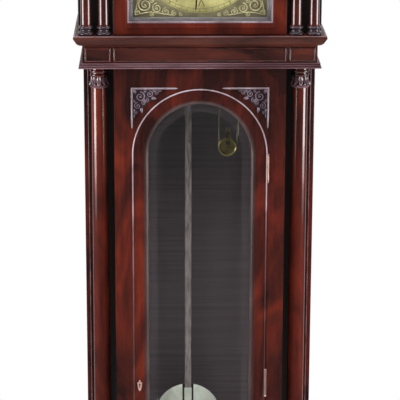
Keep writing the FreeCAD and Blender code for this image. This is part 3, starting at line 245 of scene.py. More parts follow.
finishes = {
    "dialSheet": dialSheet("lacquered_dial_sheet", dialLook),
    "wax": plainWood("worn_black_wax", "#4a4328", "#6b6238", grain=(6, 6, 6), roughness=0.5),
    "upright": mahogany("polished_mahogany_upright", "Z", shade=trunkShade),
    "across": mahogany("polished_mahogany_across", "X", "deep"),
    "backward": mahogany("polished_mahogany_side_run", "Y", "deep"),
    "turned": mahogany("turned_mahogany", "Z", "even"),
    "hoodFrame": mahogany("polished_hood_mahogany", "Z", "even"),
    "frieze": mahogany("polished_frieze_mahogany", "X", "dusky"),
    # painted reflection: the lip and seat mouldings take a lighter brown for a veil of reflected light
    "lip": mahogany("softened_lip_mahogany", "X", "brown", coatRoughness=0.2, coat=0.15),
    # painted sheen: pale lilac on the cornice, the corner post lines and the capitals' collars
    "paintedSheen": mahogany("painted_sheen_cornice_mahogany", "X", "paintedSheen", coatRoughness=0.25, coat=0.35),
    # painted highlight on the hood lip's bead
    "paintedHighlight": mahogany("painted_highlight_moulding_mahogany", "X", "paintedHighlight", coatRoughness=0.25, coat=0.35),
    "dark": mahogany("turned_dark_mahogany", "Z", "deep"),
    # dark with a painted lilac sheen; on the spandrels' ground also painted shade behind the relief
    "carved": mahogany("painted_sheen_dark_mahogany", "Z", "lilac", coatRoughness=0.25),
    # painted highlight: the carved relief is coloured pale
    "relief": mahogany("painted_highlight_relief_mahogany", "Z", "relief", coatRoughness=0.2),
    # painted sheen: the capital leaves are coloured lilac
    "leafy": mahogany("painted_sheen_leaf_mahogany", "Z", "paintedLeafSheen", coatRoughness=0.22),
    # painted highlight: the door bead is pale round the arch and fades lower down
    "bead": mahogany("painted_highlight_door_bead_mahogany", "Z", "fading", coatRoughness=0.35, shade=beadShade),
    "ovolo": mahogany("rubbed_ovolo_mahogany", "Z", "dull", coatRoughness=0.35, coat=0.6),
    # painted highlight: the L beads and the dial door's bead are coloured pale
    "paleBead": mahogany("painted_highlight_pale_bead_mahogany", "Z", "pale", coatRoughness=0.2),
    "edge": mahogany("softened_edge_mahogany", "Z", "deep", coatRoughness=0.22),
    # near black: painted shade in the niches, behind the hood columns, in the keyhole and in the bob's channel
    "niche": plainWood("painted_shade_black_lining", "#0b0706", "#1a0f0d", roughness=0.4),
    "oak": plainWood("planed_oak", "#3d2f22", "#5e4a36"),
    "inside": plainWood("smoked_oak_back", "#5c5154", "#6a5e61", grain=(300, 60, 7)),
    "mask": plainWood("dull_grey_fillet", "#625c5f", "#7f787b", grain=(30, 30, 30), roughness=0.45),
    "rod": plainWood("varnished_pale_strip", "#716564", "#a79a97", grain=(4, 4, 30), roughness=0.4),
    "gut": plainWood("twisted_gut", "#6f664f", "#a2977a", grain=(2, 2, 2), roughness=0.5),
    "brass": metal("lacquered_brass", "#a8864a", "#d9bd7c", 0.28),
    "dialBrass": metal("matted_dial_brass", "#8f8552", "#cfc585", 0.42, cloud=60, gritty=0.25, bare=0.5),
    "castBrass": metal("matted_casting_brass", "#9b9168", "#d0c69c", 0.40, cloud=9, bare=0.5),
    "wheelBrass": metal("handled_wheel_brass", "#6b6040", "#a39565", 0.3, cloud=40),
    "warmBrass": metal("worn_hinge_brass", "#7a5f58", "#b3968c", 0.35),
    "plateBrass": metal("rubbed_plate_brass", "#a27d74", "#cdaaa0", 0.4, bare=0.45),
    "oldBrass": metal("tarnished_brass", "#4a4231", "#8c8058", 0.35, cloud=12),
    "silvered": metal("silvered_brass", "#cfd2c2", "#eef0e2", 0.45, gritty=0.06, bare=0.35),
    "steel": metal("bright_steel", "#7d7f84", "#b4b6ba", 0.3),
    "blued": metal("blued_steel", "#12141c", "#262b3c", 0.25),
    "bellMetal": metal("turned_bell_metal", "#8b7440", "#c0a765", 0.3),
    "glass": plateGlass("plate_glass", "#fbfdfd"),
    "bevel": plateGlass("bevelled_glass", "#fbfdfd", veil=0.022),
}
print("finishes made:", len(finishes))


def added(name, data):
    thing = bpy.data.objects.new(name, data)
    bpy.context.scene.collection.objects.link(thing)
    return thing


def keep(shape, name, body, finish, replaced=(), smoothTurn=38):
    mesh = bpy.data.meshes.new(name)
    shape.to_mesh(mesh)
    shape.free()
    mesh.materials.append(finishes[finish])
    mesh.polygons.foreach_set("use_smooth", [True] * len(mesh.polygons))
    mesh.set_sharp_from_angle(angle=math.radians(smoothTurn))
    piece = added(name, mesh)
    if body:
        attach(piece, body)
    if replaced:
        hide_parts(*replaced)
    return piece


easing = {"weld": 0.002, "turnedWeld": 0.01, "flatTurn": 0.4, "sharpTurn": 32, "smoothTurn": 25}  # mm, degrees


def copied(node):  # a node's mesh with its seams welded
    shape = bmesh.new()
    shape.from_mesh(nodes[node].data)
    bmesh.ops.remove_doubles(shape, verts=shape.verts, dist=easing["weld"] * mm)
    return shape


def dressed(node, finish, edge=0.8):  # a copy of a node with its arrises eased
    shape = copied(node)
    bmesh.ops.dissolve_limit(shape, angle_limit=math.radians(easing["flatTurn"]), verts=shape.verts,
                             edges=shape.edges)
    if edge:
        turn = math.radians(easing["sharpTurn"])
        sharp = [e for e in shape.edges if len(e.link_faces) == 2 and e.calc_face_angle() > turn]
        bmesh.ops.bevel(shape, geom=sharp, offset=edge * mm, offset_type="OFFSET", segments=2, profile=0.5,
                        affect="EDGES", clamp_overlap=True, material=-1)
    return keep(shape, node + "_eased", nodes[node]["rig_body"], finish, [node],
                easing["smoothTurn"])


easedBoards = {  # node: (finish, ease of the arris)
    "plinth": ("across", 1.2), "base_front": ("upright", 1.0), "base_sides": ("upright", 1.0),
    "base_moulding": ("across", 0.6), "trunk_front": ("upright", 0.0), "trunk_sides": ("upright", 0.8),
    "frieze": ("frieze", 0.5), "hood_entablature": ("across", 0.8), "hood_roof": ("backward", 0.6),
    "hood_cornice": ("across", 0.5), "hood_finials": ("dark", 0.5), "trunk_columns": ("turned", 0.0),
    "door_frame": ("upright", 0.7), "pendulum_rod": ("rod", 0.5), "weights": ("brass", 0.0),
    "bell": ("bellMetal", 0.0), "going_pulley": ("oldBrass", 0.2), "strike_pulley": ("oldBrass", 0.2),
    "case_hardware": ("warmBrass", 0.2), "door_hinge_leaves": ("warmBrass", 0.2),
    "pendulum_bob": ("silvered", 0.4), "movement_frame": ("brass", 0.3), "dial_plate": ("dialSheet", 0.3),
}
for node, (finish, edge) in easedBoards.items():
    dressed(node, finish, edge)


def secondFinish(piece, finish, chosen):  # a second finish on the faces that are chosen
    piece.data.materials.append(finishes[finish])
    for face in piece.data.polygons:
        if chosen(face):
            face.material_index = 1


boardFaces = {"facing": 0.9, "near": 1.0, "doorDrop": 1.2}
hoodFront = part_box("hood_sides")[0].y + boardFaces["near"] * mm
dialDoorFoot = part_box("hood_door_frame")[0].z + boardFaces["near"] * mm
secondFinish(dressed("backboard", "inside", 0.0), "oak",  # plain brown on the wall side
      lambda face: face.normal.y > boardFaces["facing"])
for corner in dressed("hood_door_frame", "hoodFrame", 0.6).data.vertices:
    if corner.co.z < dialDoorFoot:
        corner.co.z -= boardFaces["doorDrop"] * mm  # the door hangs close over the hood's base
secondFinish(dressed("hood_sides", "upright"), "niche",  # painted shade: the board's face behind the columns is coloured near black
      lambda face: face.normal.y < -boardFaces["facing"] and face.center.y < hoodFront)

plainNodes = {  # hidden or simple pieces that stay as they are and only take a finish
    # the niche linings are coloured near black, painted shade
    "niche": ["niche_linings"], "oak": ["floor_board", "seat_board"], "mask": ["hood_mask"],
    "glass": ["hood_door_glass"], "blued": ["hour_hand", "minute_hand"], "dialBrass": ["chapter_ring"],
    "steel": ["anchor_crutch", "lock_bolt", "pendulum_fittings", "strike_hammer"],
    "brass": ["lock_case", "going_barrel", "strike_barrel", "train_wheels"], "oldBrass": ["hood_door_pivots"],
}
for finish, names in plainNodes.items():
    for name in names:
        nodes[name].data.materials.clear()
        nodes[name].data.materials.append(finishes[finish])
print("construction dressed")

forward = Vector((0, -1, 0))  # out of the clock's front


def faceOut(shape):
    bmesh.ops.recalc_face_normals(shape, faces=shape.faces)


def sweep(shape, stations, profile, closed=False, rise=forward):
    # a closed profile of (sideways, proud) points carried through (point, sideways, size) stations, in mm
    rings = []
    for point, side, size in stations:
        ring = [shape.verts.new((point + (side * u + rise * v) * size) * mm) for u, v in profile]
        loop = [shape.edges.new((ring[i - 1], ring[i])) for i in range(len(ring))]
        rings.append((ring, loop))
    for first, second in zip(rings, rings[1:] + (rings[:1] if closed else [])):
        bmesh.ops.bridge_loops(shape, edges=first[1] + second[1])
    if not closed:
        shape.faces.new(rings[0][0])
        shape.faces.new(rings[-1][0])
    faceOut(shape)


def settle(shape, gap):  # welds the ends of a lathe's turn and faces it outwards
    bmesh.ops.remove_doubles(shape, verts=shape.verts, dist=gap * mm)
    faceOut(shape)


def block(shape, centre, size, turn=Matrix()):  # a box of a size in mm round its centre
    place = turn @ Matrix.Translation(centre * mm) @ Matrix.Diagonal([s * mm for s in size] + [1])
    bmesh.ops.create_cube(shape, size=1.0, matrix=place)


def halfRound(width, proud, steps=8):  # a bead's section, its flat just under the face it lies on
    half, sunk = width / 2, -0.2
    arc = [math.pi * k / steps for k in range(steps + 1)]
    return [(-half, sunk)] + [(-math.cos(a) * half, math.sin(a) * proud) for a in arc] + [(half, sunk)]


def archedPath(half, low, spring, y, steps=56):
    path = [(Vector((-half, y, low)), Vector((-1, 0, -1)), 1.0)]
    for k in range(steps + 1):
        a = math.pi * (1 - k / steps)
        radial = Vector((math.cos(a), 0, math.sin(a)))
        path.append((Vector((0, y, spring)) + radial * half, radial, 1.0))
    path.append((Vector((half, y, low)), Vector((1, 0, -1)), 1.0))
    return path


def squarePath(x0, x1, z0, z1, y):
    corners = [(x0, z0, -1, -1), (x0, z1, -1, 1), (x1, z1, 1, 1), (x1, z0, 1, -1)]
    return [(Vector((x, y, z)), Vector((a, 0, b)), 1.0) for x, z, a, b in corners]


def boxOf(node):  # a node's corners in mm
    low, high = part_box(node)
    return low / mm, high / mm


# Trunk door: bead round the edge, ovolo inside the stiles and a bevelled pane
doorTrim = {"beadWidth": 2.6, "beadProud": 1.7, "ovoloWidth": 9.0, "ovoloLip": 1.2, "ovoloSteps": 8,
            "paneBevel": 25.0, "paneEdge": 1.8}
doorLow, doorHigh = boxOf("door_frame")
doorHalf = doorHigh.x
doorSpring = doorHigh.z - doorHalf
faceY = doorLow.y


def makeDoorBead():
    trim = doorTrim
    inset = trim["beadWidth"] / 2
    half = doorHalf - inset
    shape = bmesh.new()
    sweep(shape, archedPath(half, doorLow.z + inset, doorSpring, faceY),
          halfRound(trim["beadWidth"], trim["beadProud"]), closed=True)
    keep(shape, "door_edge_bead", "trunk_door", "bead", ["door_bead"])


def makeDoorOvolo():
    trim = doorTrim
    low, high = boxOf("door_inner_moulding")
    wide, lip, steps = trim["ovoloWidth"], trim["ovoloLip"], trim["ovoloSteps"]
    rise = high.y - low.y - lip
    half = high.x
    shares = [k / steps for k in range(steps + 1)]
    curve = [(-wide * share, rise * math.sqrt(max(0.0, 1 - share ** 2)) + lip) for share in shares]
    profile = [(0.0, 0.0)] + curve + [(-wide, 0.0)]
    shape = bmesh.new()
    sweep(shape, archedPath(half, low.z, high.z - half, high.y), profile, closed=True)
    keep(shape, "door_ovolo", "trunk_door", "ovolo", ["door_inner_moulding"])


def makeDoorPane():
    low, high = boxOf("door_glass")
    half = high.x
    spring = high.z - half
    shape = bmesh.new()
    wide, edge = doorTrim["paneBevel"], doorTrim["paneEdge"]
    rings = []
    for inset, y in ((0.0, high.y), (0.0, low.y + edge), (wide, low.y)):  # back, front rim, top of the bevel
        path = archedPath(half - inset, low.z + inset, spring, y)
        rings.append([shape.verts.new(point * mm) for point, side, size in path])
    loops = [[shape.edges.new((ring[i - 1], ring[i])) for i in range(len(ring))] for ring in rings]
    bmesh.ops.bridge_loops(shape, edges=loops[0] + loops[1])
    for slope in bmesh.ops.bridge_loops(shape, edges=loops[1] + loops[2])["faces"]:
        slope.material_index = 1
    shape.faces.new(rings[0])
    shape.faces.new(rings[2])
    faceOut(shape)
    pane = keep(shape, "bevelled_pane", "trunk_door", "glass", ["door_glass"], smoothTurn=4)
    pane.data.materials.append(finishes["bevel"])


makeDoorBead()
makeDoorOvolo()
makeDoorPane()

# Applied beads: an L over each spandrel, panels on frieze and base, and a pale line down each corner post, a
# painted highlight
beadWork = {"width": 3.6, "proud": 2.4, "lWidth": 3.8, "lProud": 3.0, "across": 88.0, "down": 79.0,
            "sideGap": 1.5, "topGap": 3.0,
            "ends": [(0.0, 0.25), (4.0, 0.8), (18.0, 1.0)],  # mm from the tip, share of the full section
            "friezeFoot": 13.6, "friezeTop": 4.75, "friezeEdge": 5.55, "friezeSmall": 47.2,
            "friezeBetween": 7.6, "baseInset": 58.0, "baseTop": 34.0,
            "postInset": 8.5, "postWidth": 2.0, "postProud": 1.0}


def makeBeads():
    work = beadWork
    shape = bmesh.new()
    cornerZ = doorHigh.z + work["topGap"] - work["lWidth"] / 2
    upward = Vector((0, 0, 1))
    for way in (-1, 1):
        cornerX = way * (doorHalf + work["sideGap"] - work["lWidth"] / 2)
        corner = Vector((cornerX, faceY, cornerZ))
        outward = Vector((way, 0, 0))
        inner = [(corner - outward * (work["across"] - far), upward, size) for far, size in work["ends"]]
        lower = [(corner - upward * (work["down"] - far), outward, size) for far, size in work["ends"]]
        sweep(shape, inner + [(corner, outward + upward, 1.0)] + lower[::-1],
              halfRound(work["lWidth"], work["lProud"]))
    keep(shape, "spandrel_beads", "case", "paleBead", ["applied_beads"])
    shape = bmesh.new()
    friezeLow, friezeHigh = boxOf("frieze")
    trunkHalf = friezeHigh.x
    z0 = boxOf("lower_cornice")[0].z + work["friezeFoot"]
    z1 = boxOf("seat_moulding")[0].z - work["friezeTop"]
    outer = trunkHalf - work["friezeEdge"]
    inner = outer - work["friezeSmall"]
    wide = inner - work["friezeBetween"]
    for x0, x1 in ((-outer, -inner), (-wide, wide), (inner, outer)):
        sweep(shape, squarePath(x0, x1, z0, z1, friezeLow.y), halfRound(work["width"], work["proud"]),
              closed=True)
    beadLow = boxOf("applied_beads")[0]
    baseLow, baseHigh = boxOf("base_front")
    half = baseHigh.x - work["baseInset"] - work["lWidth"] / 2
    top = boxOf("base_moulding")[0].z - work["baseTop"] - work["lWidth"] / 2
    sweep(shape, squarePath(-half, half, beadLow.z + work["lWidth"] / 2, top, baseLow.y),
          halfRound(work["lWidth"], work["lProud"]), closed=True)
    keep(shape, "panel_beads", "case", "edge", ["applied_beads"])
    shape = bmesh.new()
    sideLow, sideHigh = boxOf("trunk_sides")
    for way in (-1, 1):
        foot = Vector((way * (sideHigh.x - work["postInset"]), sideLow.y, sideLow.z))
        head = Vector((foot.x, foot.y, friezeLow.z))
        sweep(shape, [(point, Vector((1, 0, 0)), 1.0) for point in (foot, head)],
              halfRound(work["postWidth"], work["postProud"]))
    keep(shape, "post_edge_beads", "case", "paintedSheen")


makeBeads()

leafForm = {"stem": 0.16, "widest": 0.75, "full": 0.7, "tip": 0.02, "blunt": 0.25,  # its outline
            "round": 1.6, "fall": 0.5, "vein": 0.35, "veinWidth": 0.18, "thick": 0.9}


def leaf(shape, root, along, across, out, size, blunt=False):
    # a leaf with a sunk vein, pointed or blunt: size is (length, width, swell, curl), in mm
    form = leafForm
    length, width, swell, curl = size
    made = bmesh.ops.create_grid(shape, x_segments=8, y_segments=6, size=1.0)["verts"]
    for v in made:
        t, s = (v.co.x + 1) / 2, v.co.y
        bow = math.pi * (form["stem"] + (1 - form["stem"]) * t) ** form["widest"]
        pointed = math.sin(bow) ** form["full"] if t < 0.999 else form["tip"]
        taper = max(form["blunt"], math.sqrt(1 - t ** 4)) if blunt else pointed
        vein = swell * form["vein"] * math.exp(-(s / form["veinWidth"]) ** 2)
        ridge = swell * (1 - abs(s) ** form["round"]) * (1 - form["fall"] * t) - vein
        flat = root + along * (length * t) + across * (width / 2 * s * taper)
        v.co = (flat + out * (ridge + curl * t * t)) * mm
    faces = list({f for v in made for f in v.link_faces})
    bmesh.ops.solidify(shape, geom=faces, thickness=form["thick"] * mm)


scrollForm = {"perTurn": 18, "windIn": 0.78, "thinning": 0.45, "eye": 0.62, "eyeOut": 0.25}


def scroll(shape, centre, start, turns, radius, thick, hand, proud=0.9):
    # a spiral ridge that winds in to a round eye
    form = scrollForm
    steps = int(form["perTurn"] * turns)
    stations = []
    for k in range(steps + 1):
        t = k / steps
        a = start + hand * 2 * math.pi * turns * t
        r = radius * (1 - form["windIn"] * t)
        radial = Vector((math.cos(a), 0, math.sin(a)))
        stations.append((centre + radial * r, radial, 1 - form["thinning"] * t))
    sweep(shape, stations, halfRound(thick, thick * proud, steps=5))
    ball = bmesh.ops.create_uvsphere(shape, u_segments=10, v_segments=6, radius=thick * form["eye"] * mm)
    eye = ball["verts"]
    bmesh.ops.scale(shape, verts=eye, vec=(1, proud, 1))
    bmesh.ops.translate(shape, verts=eye, vec=(centre + forward * thick * form["eyeOut"] * proud) * mm)


# Carved corners over the arch: a thin ground with scrolls and leaves running out along both legs
carving = {"ground": 0.6, "sunk": 0.1, "leg": 56.0, "archGap": 12.0, "rimSteps": 12,
           "leafSwell": 3.0, "leafCurl": 0.6,  # each row below starts with its way in and down from the corner
           "scrolls": [(14, 14, 9.5, 1.5, 3.0), (32, 9, 6.6, 1.4, 2.4), (9, 32, 6.6, 1.4, 2.4),
                       (26, 21, 4.6, 1.2, 2.0), (21, 26, 4.6, 1.2, 2.0), (45, 6, 4.6, 1.3, 1.8),
                       (6, 45, 4.6, 1.3, 1.8), (23, 3.5, 3.2, 1.0, 1.6), (3.5, 23, 3.2, 1.0, 1.6)],
           "leaves": [(1, 1, 45, 8, 6), (38, 2, 8, 8, 4), (2, 38, 82, 8, 4), (36, 16, 8, 10, 5),
                      (16, 36, 82, 10, 5), (19, 19, 45, 9, 6), (49, 2, 6, 7, 3), (2, 49, 84, 7, 3)]}


def makeSpandrels():
    cornerX = doorHalf + beadWork["sideGap"] - beadWork["lWidth"]
    cornerZ = doorHigh.z + beadWork["topGap"] - beadWork["lWidth"]
    down = Vector((0, 0, -1))
    reach = doorHalf + carving["archGap"]  # the long side follows the arch
    raised = forward * carving["ground"]
    ground, relief = bmesh.new(), bmesh.new()
    for way in (-1, 1):
        corner = Vector((way * cornerX, faceY, cornerZ))
        inward = Vector((-way, 0, 0))
        rim = []
        for k in range(carving["rimSteps"] + 1):
            share = k / carving["rimSteps"]
            point = corner + inward * carving["leg"] * (1 - share) + down * carving["leg"] * share
            flat = Vector((point.x, 0, point.z - doorSpring))
            if flat.length < reach:
                flat = flat.normalized() * reach
            rim.append(Vector((flat.x, faceY, flat.z + doorSpring)))
        front = ground.faces.new([ground.verts.new((point + raised) * mm) for point in [corner] + rim])
        for v in bmesh.ops.extrude_face_region(ground, geom=[front])["geom"]:
            if isinstance(v, bmesh.types.BMVert):
                v.co.y = (faceY + carving["sunk"]) * mm
        for u, w, radius, turns, thick in carving["scrolls"]:
            centre = corner + inward * u + down * w + raised
            scroll(relief, centre, math.pi / 2, turns, radius, thick, way if u >= w else -way)
        for u, w, angle, length, width in carving["leaves"]:
            a = math.radians(angle)
            along = inward * math.cos(a) + down * math.sin(a)
            leaf(relief, corner + inward * u + down * w + raised, along, along.cross(forward), forward,
                 (length, width, carving["leafSwell"], carving["leafCurl"]))
    faceOut(ground)
    faceOut(relief)
    # painted shade: the ground behind the relief is coloured dark, with a painted lilac sheen
    keep(ground, "spandrel_grounds", "case", "carved", ["carved_spandrels"])
    # the relief is coloured pale, a painted highlight
    keep(relief, "acanthus_spandrels", "case", "relief", ["carved_spandrels"])


makeSpandrels()


def lathe(shape, profile, x, y, z, steps=40, axis=Vector((0, 0, 1))):
    # (radius, height) points turned about an axis, in mm
    points = [shape.verts.new((Vector((x + r, y, z)) + axis * h) * mm) for r, h in profile]
    run = [shape.edges.new(pair) for pair in zip(points, points[1:])]
    bmesh.ops.spin(shape, geom=points + run, cent=Vector((x, y, z)) * mm, axis=axis, angle=2 * math.pi,
                   steps=steps, use_merge=True)


# Capitals of the trunk columns: two rings over a bell of leaves, whose tips curl out over a collar coloured
# with a painted pale sheen
capital = {"leaves": 10, "leaf": (16.0, 8.4, 2.4, 5.4), "leafRoot": (14.2, 17.0), "fromPanel": 28.5,
           "collarTop": 0.4,
           "bell": [(0.0, -5.6), (15.2, -5.6), (17.2, -4.8), (18.0, -3.2), (17.4, -1.6), (15.8, -0.8),
                    (14.8, 0.0), (14.4, 2.0), (14.6, 6.0), (15.0, 11.0), (15.6, 15.0), (15.8, 16.6),
                    (15.0, 17.2), (16.6, 17.8), (17.4, 19.2), (17.4, 20.8), (16.6, 22.2), (15.2, 22.8),
                    (15.0, 24.2), (16.8, 24.8), (17.8, 26.4), (17.8, 28.2), (16.8, 29.8), (15.4, 30.4),
                    (15.4, 32.0), (16.6, 32.4), (16.6, 36.0), (0.0, 36.0)]}


def makeCapitals():
    size = capital
    low, high = boxOf("trunk_capitals")
    columnX = boxOf("trunk_front")[1].x + size["fromPanel"]
    columnY = (low.y + high.y) / 2
    rootOut, rootUp = size["leafRoot"]
    shape = bmesh.new()
    for way in (-1, 1):
        lathe(shape, size["bell"], way * columnX, columnY, low.z)
    settle(shape, easing["turnedWeld"])
    turned = keep(shape, "turned_capitals", "case", "dark", ["trunk_capitals"])
    # the collar is coloured pale lilac, a painted sheen
    collarTop = (low.z + size["collarTop"]) * mm
    secondFinish(turned, "paintedSheen", lambda face: face.center.z < collarTop)
    shape = bmesh.new()
    for way in (-1, 1):
        axis = Vector((way * columnX, columnY, low.z))
        for k in range(size["leaves"]):
            a = 2 * math.pi * (k + 0.5) / size["leaves"]
            out = Vector((math.cos(a), math.sin(a), 0))
            across = Vector((-math.sin(a), math.cos(a), 0))
            leaf(shape, axis + out * rootOut + Vector((0, 0, rootUp)), Vector((0, 0, -1)), across, out,
                 size["leaf"], blunt=True)
    faceOut(shape)
    keep(shape, "capital_leaves", "case", "leafy", ["trunk_capitals"])


makeCapitals()

# Mouldings over and under the frieze, run round the front and both sides: (proud, height) points
runs = {"cornice": [(0.0, 0.0), (4.2, 0.0), (6.6, 0.4), (7.6, 1.4), (7.4, 2.4), (6.0, 3.1), (2.0, 3.2),
                    (2.0, 4.6), (5.4, 4.7), (6.4, 5.5), (6.2, 6.4), (5.0, 7.1), (1.6, 7.2), (1.6, 8.6),
                    (4.6, 8.7), (5.6, 9.5), (5.2, 10.4), (3.6, 11.0), (0.0, 11.0)],
        "seat": [(0.0, 0.0), (1.0, 0.2), (3.8, 0.9), (7.2, 2.6), (9.9, 4.8), (11.5, 6.8), (12.0, 8.0),
                 (0.0, 8.0)]}


def frontRun(shape, half, frontY, backY, z, profile):  # along one side, the front and the other side, mitred
    corners = [(-half, backY, -1, 0), (-half, frontY, -1, -1), (half, frontY, 1, -1), (half, backY, 1, 0)]
    sweep(shape, [(Vector((x, y, z)), Vector((a, b, 0)), 1.0) for x, y, a, b in corners], profile,
          rise=Vector((0, 0, 1)))


def makeRun(name, node, profile, finish):
    low, high = boxOf(node)
    shape = bmesh.new()
    frontRun(shape, boxOf("frieze")[1].x, boxOf("frieze")[0].y, high.y, low.z, profile)
    keep(shape, name, "case", finish, [node])


# the cornice's pale lilac colour is a painted sheen
makeRun("triple_bead_cornice", "lower_cornice", runs["cornice"], "paintedSheen")
makeRun("rounded_seat_moulding", "seat_moulding", runs["seat"], "lip")

# Base of the hood: a thin nose with a bead on it, coloured pale as a painted highlight, sloping in at its foot
# towards the seat moulding
hoodLip = {"arc": 3.6, "slack": 0.1, "hollow": 9.0, "inset": 5.0, "curve": 1.2,
           "beadIn": 2.6, "beadWidth": 4.0, "beadProud": 0.9}


def makeHoodLip():
    low, high = boxOf("hood_base")
    shape = copied("hood_base")
    beside = hoodLip["arc"] + hoodLip["slack"]
    for v in shape.verts:
        rise = (v.co.z / mm - low.z) / hoodLip["arc"]  # the lower round is drawn up into a hollow
        besideSide = high.x - abs(v.co.x) / mm < beside
        besideFront = v.co.y / mm - low.y < beside
        if rise > 1.001 or not (besideSide or besideFront):
            continue
        rise = min(max(rise, 0.0), 1.0)
        inset = hoodLip["inset"] * (1 - rise) ** hoodLip["curve"]
        if besideSide:
            v.co.x = math.copysign((high.x - inset) * mm, v.co.x)
        if besideFront:
            v.co.y = (low.y + inset) * mm
        v.co.z = (low.z + hoodLip["hollow"] * rise) * mm
    faceOut(shape)
    keep(shape, "hollowed_hood_base", "hood", "lip", ["hood_base"])
    shape = bmesh.new()
    frontRun(shape, high.x - hoodLip["beadIn"], low.y + hoodLip["beadIn"], high.y, high.z,
             halfRound(hoodLip["beadWidth"], hoodLip["beadProud"]))
    keep(shape, "hood_lip_bead", "hood", "paintedHighlight")


makeHoodLip()

# Hood columns: two rounds and a hollow at a foot coloured dark with a painted lilac sheen, a slim shaft, and a
# plain ringed cap
hoodColumn = {"reach": 14.5, "spacing": 33.5, "cap": 32.0, "darkFoot": 18.4,
              "foot": [(0.0, 0.0), (13.2, 0.0), (14.1, 1.2), (14.5, 3.2), (14.1, 5.2), (13.0, 6.3),
                       (11.4, 6.7), (11.4, 7.6), (10.6, 8.8), (10.3, 10.3), (10.7, 11.8), (11.5, 12.8),
                       (12.5, 13.1), (13.2, 14.1), (13.4, 15.3), (13.1, 16.6), (12.2, 17.5), (10.9, 17.9),
                       (10.9, 19.0), (10.2, 20.0), (10.02, 21.0), (10.0, 23.0)],
              "top": [(9.02, -4.0), (9.0, -1.0), (9.0, 0.0), (10.2, 0.7), (10.6, 2.0), (10.2, 3.2),
                      (9.0, 3.9), (9.3, 7.0), (10.2, 13.0), (11.5, 21.0), (13.0, 22.4), (13.9, 23.9),
                      (13.0, 25.4), (11.6, 26.2), (13.4, 26.9), (13.4, 32.0), (0.0, 32.0)]}


def makeHoodColumns():
    low, high = boxOf("hood_columns")
    outer = high.x - hoodColumn["reach"]
    axisY = (low.y + high.y) / 2
    capFoot = high.z - low.z - hoodColumn["cap"]
    profile = hoodColumn["foot"] + [(r, capFoot + h) for r, h in hoodColumn["top"]]
    shape = bmesh.new()
    for x in (-outer, hoodColumn["spacing"] - outer, outer - hoodColumn["spacing"], outer):
        lathe(shape, profile, x, axisY, low.z)
    settle(shape, easing["turnedWeld"])
    columns = keep(shape, "turned_hood_columns", "hood", "dark", ["hood_columns"])
    # the foot is coloured dark with a painted lilac sheen
    footTop = (low.z + hoodColumn["darkFoot"]) * mm
    secondFinish(columns, "carved", lambda face: face.center.z < footTop)


makeHoodColumns()

# Bead inside the dial door's opening, which has square shoulders under its arch, over a low sill
dialMargin = 8.0  # from the hour ring to the edge of the dial
doorLip = {"section": [(0.2, 0.0), (0.2, 2.8), (-0.5, 3.4), (-1.6, 3.6), (-2.6, 3.2), (-3.2, 2.0),
                       (-3.4, 0.0)], "depth": 3.4, "strip": 10.0, "archRadius": 95.0, "archSteps": 40,
           "sill": 5.0, "sillOver": 0.4, "sillSunk": 0.3, "sillBack": 1.0, "sillDepth": 6.0}


def makeDoorLip():
    lip = doorLip
    frameLow = boxOf("hood_door_frame")[0]
    dialLow, dialHigh = boxOf("chapter_ring")
    middle = (dialLow.z + dialHigh.z) / 2
    view = dialHigh.x + dialMargin
    half, shoulder = view + lip["strip"], middle + view + lip["strip"]
    foot = middle - view - lip["strip"]
    low = foot + lip["sill"]
    archZ, radius = middle + view, lip["archRadius"] + lip["strip"]
    y = frameLow.y + lip["depth"]
    up = Vector((0, 0, 1))
    start = math.acos(lip["strip"] / radius)  # from the crown down to where the arch meets a shoulder
    square = squarePath(-half, half, low, shoulder, y)
    path = square[:2]
    for k in range(lip["archSteps"] + 1):
        a = start * (2 * k / lip["archSteps"] - 1)
        radial = Vector((math.sin(a), 0, math.cos(a)))
        side = radial
        if k in (0, lip["archSteps"]):
            side = (radial + up) / (1 + radial.dot(up))  # mitre with the level shoulder
        path.append((Vector((0, y, archZ)) + radial * radius, side, 1.0))
    shape = bmesh.new()
    sweep(shape, path + square[2:], lip["section"], closed=True)
    keep(shape, "dial_door_bead", "hood_door", "paleBead")
    shape = bmesh.new()
    tall, deep = lip["sill"] + lip["sillOver"], lip["sillDepth"]
    centre = Vector((0, frameLow.y + lip["sillBack"] + deep / 2, foot + tall / 2 - lip["sillSunk"]))
    block(shape, centre, (2 * half, deep, tall))
    keep(shape, "dial_door_sill", "hood_door", "hoodFrame")


makeDoorLip()

# Dial: hour numerals and minute marks on the ring, scroll castings in the corners, a turned boss in the arch
dial = {"numeral": 22.4, "numeralRadius": 99.0, "track": (112.0, 118.0), "innerTrack": 90.0, "line": 0.8,
        "fives": 2.0, "ink": 0.15, "flatten": 0.6, "stem": (2.2, 1.3),
        "hours": ["XII", "I", "II", "III", "IV", "V", "VI", "VII", "VIII", "IX", "X", "XI"],
        "scrolls": [(23, 23, 14.0, 1.7, 3.4), (9, 9, 6.5, 1.4, 2.6), (46, 17, 9.5, 1.6, 3.0),
                    (17, 46, 9.5, 1.6, 3.0), (37, 5, 5.0, 1.3, 2.4), (5, 37, 5.0, 1.3, 2.4),
                    (63, 10, 7.5, 1.5, 2.6), (10, 63, 7.5, 1.5, 2.6), (79, 7, 5.5, 1.4, 2.2),
                    (7, 79, 5.5, 1.4, 2.2), (92, 5, 4.0, 1.3, 1.8), (5, 92, 4.0, 1.3, 1.8),
                    (37, 31, 5.0, 1.3, 2.4), (31, 37, 5.0, 1.3, 2.4)],
        "stems": [((4, 4), (30, 9), (52, 7), (74, 3)), ((4, 4), (9, 30), (7, 52), (3, 74))],
        "boss": [(0.0, 0.6), (30.0, 0.6), (31.5, 1.6), (33.0, 1.8), (34.5, 1.6), (36.0, 0.8), (41.0, 0.8),
                 (42.5, 1.7), (44.5, 1.7), (46.0, 0.2), (46.0, 0.0)]}


def circlePath(x, y, z, radius, steps=72):
    turns = [2 * math.pi * k / steps for k in range(steps)]
    radials = [Vector((math.sin(a), 0, math.cos(a))) for a in turns]
    return [(Vector((x, y, z)) + radial * radius, radial, 1.0) for radial in radials]


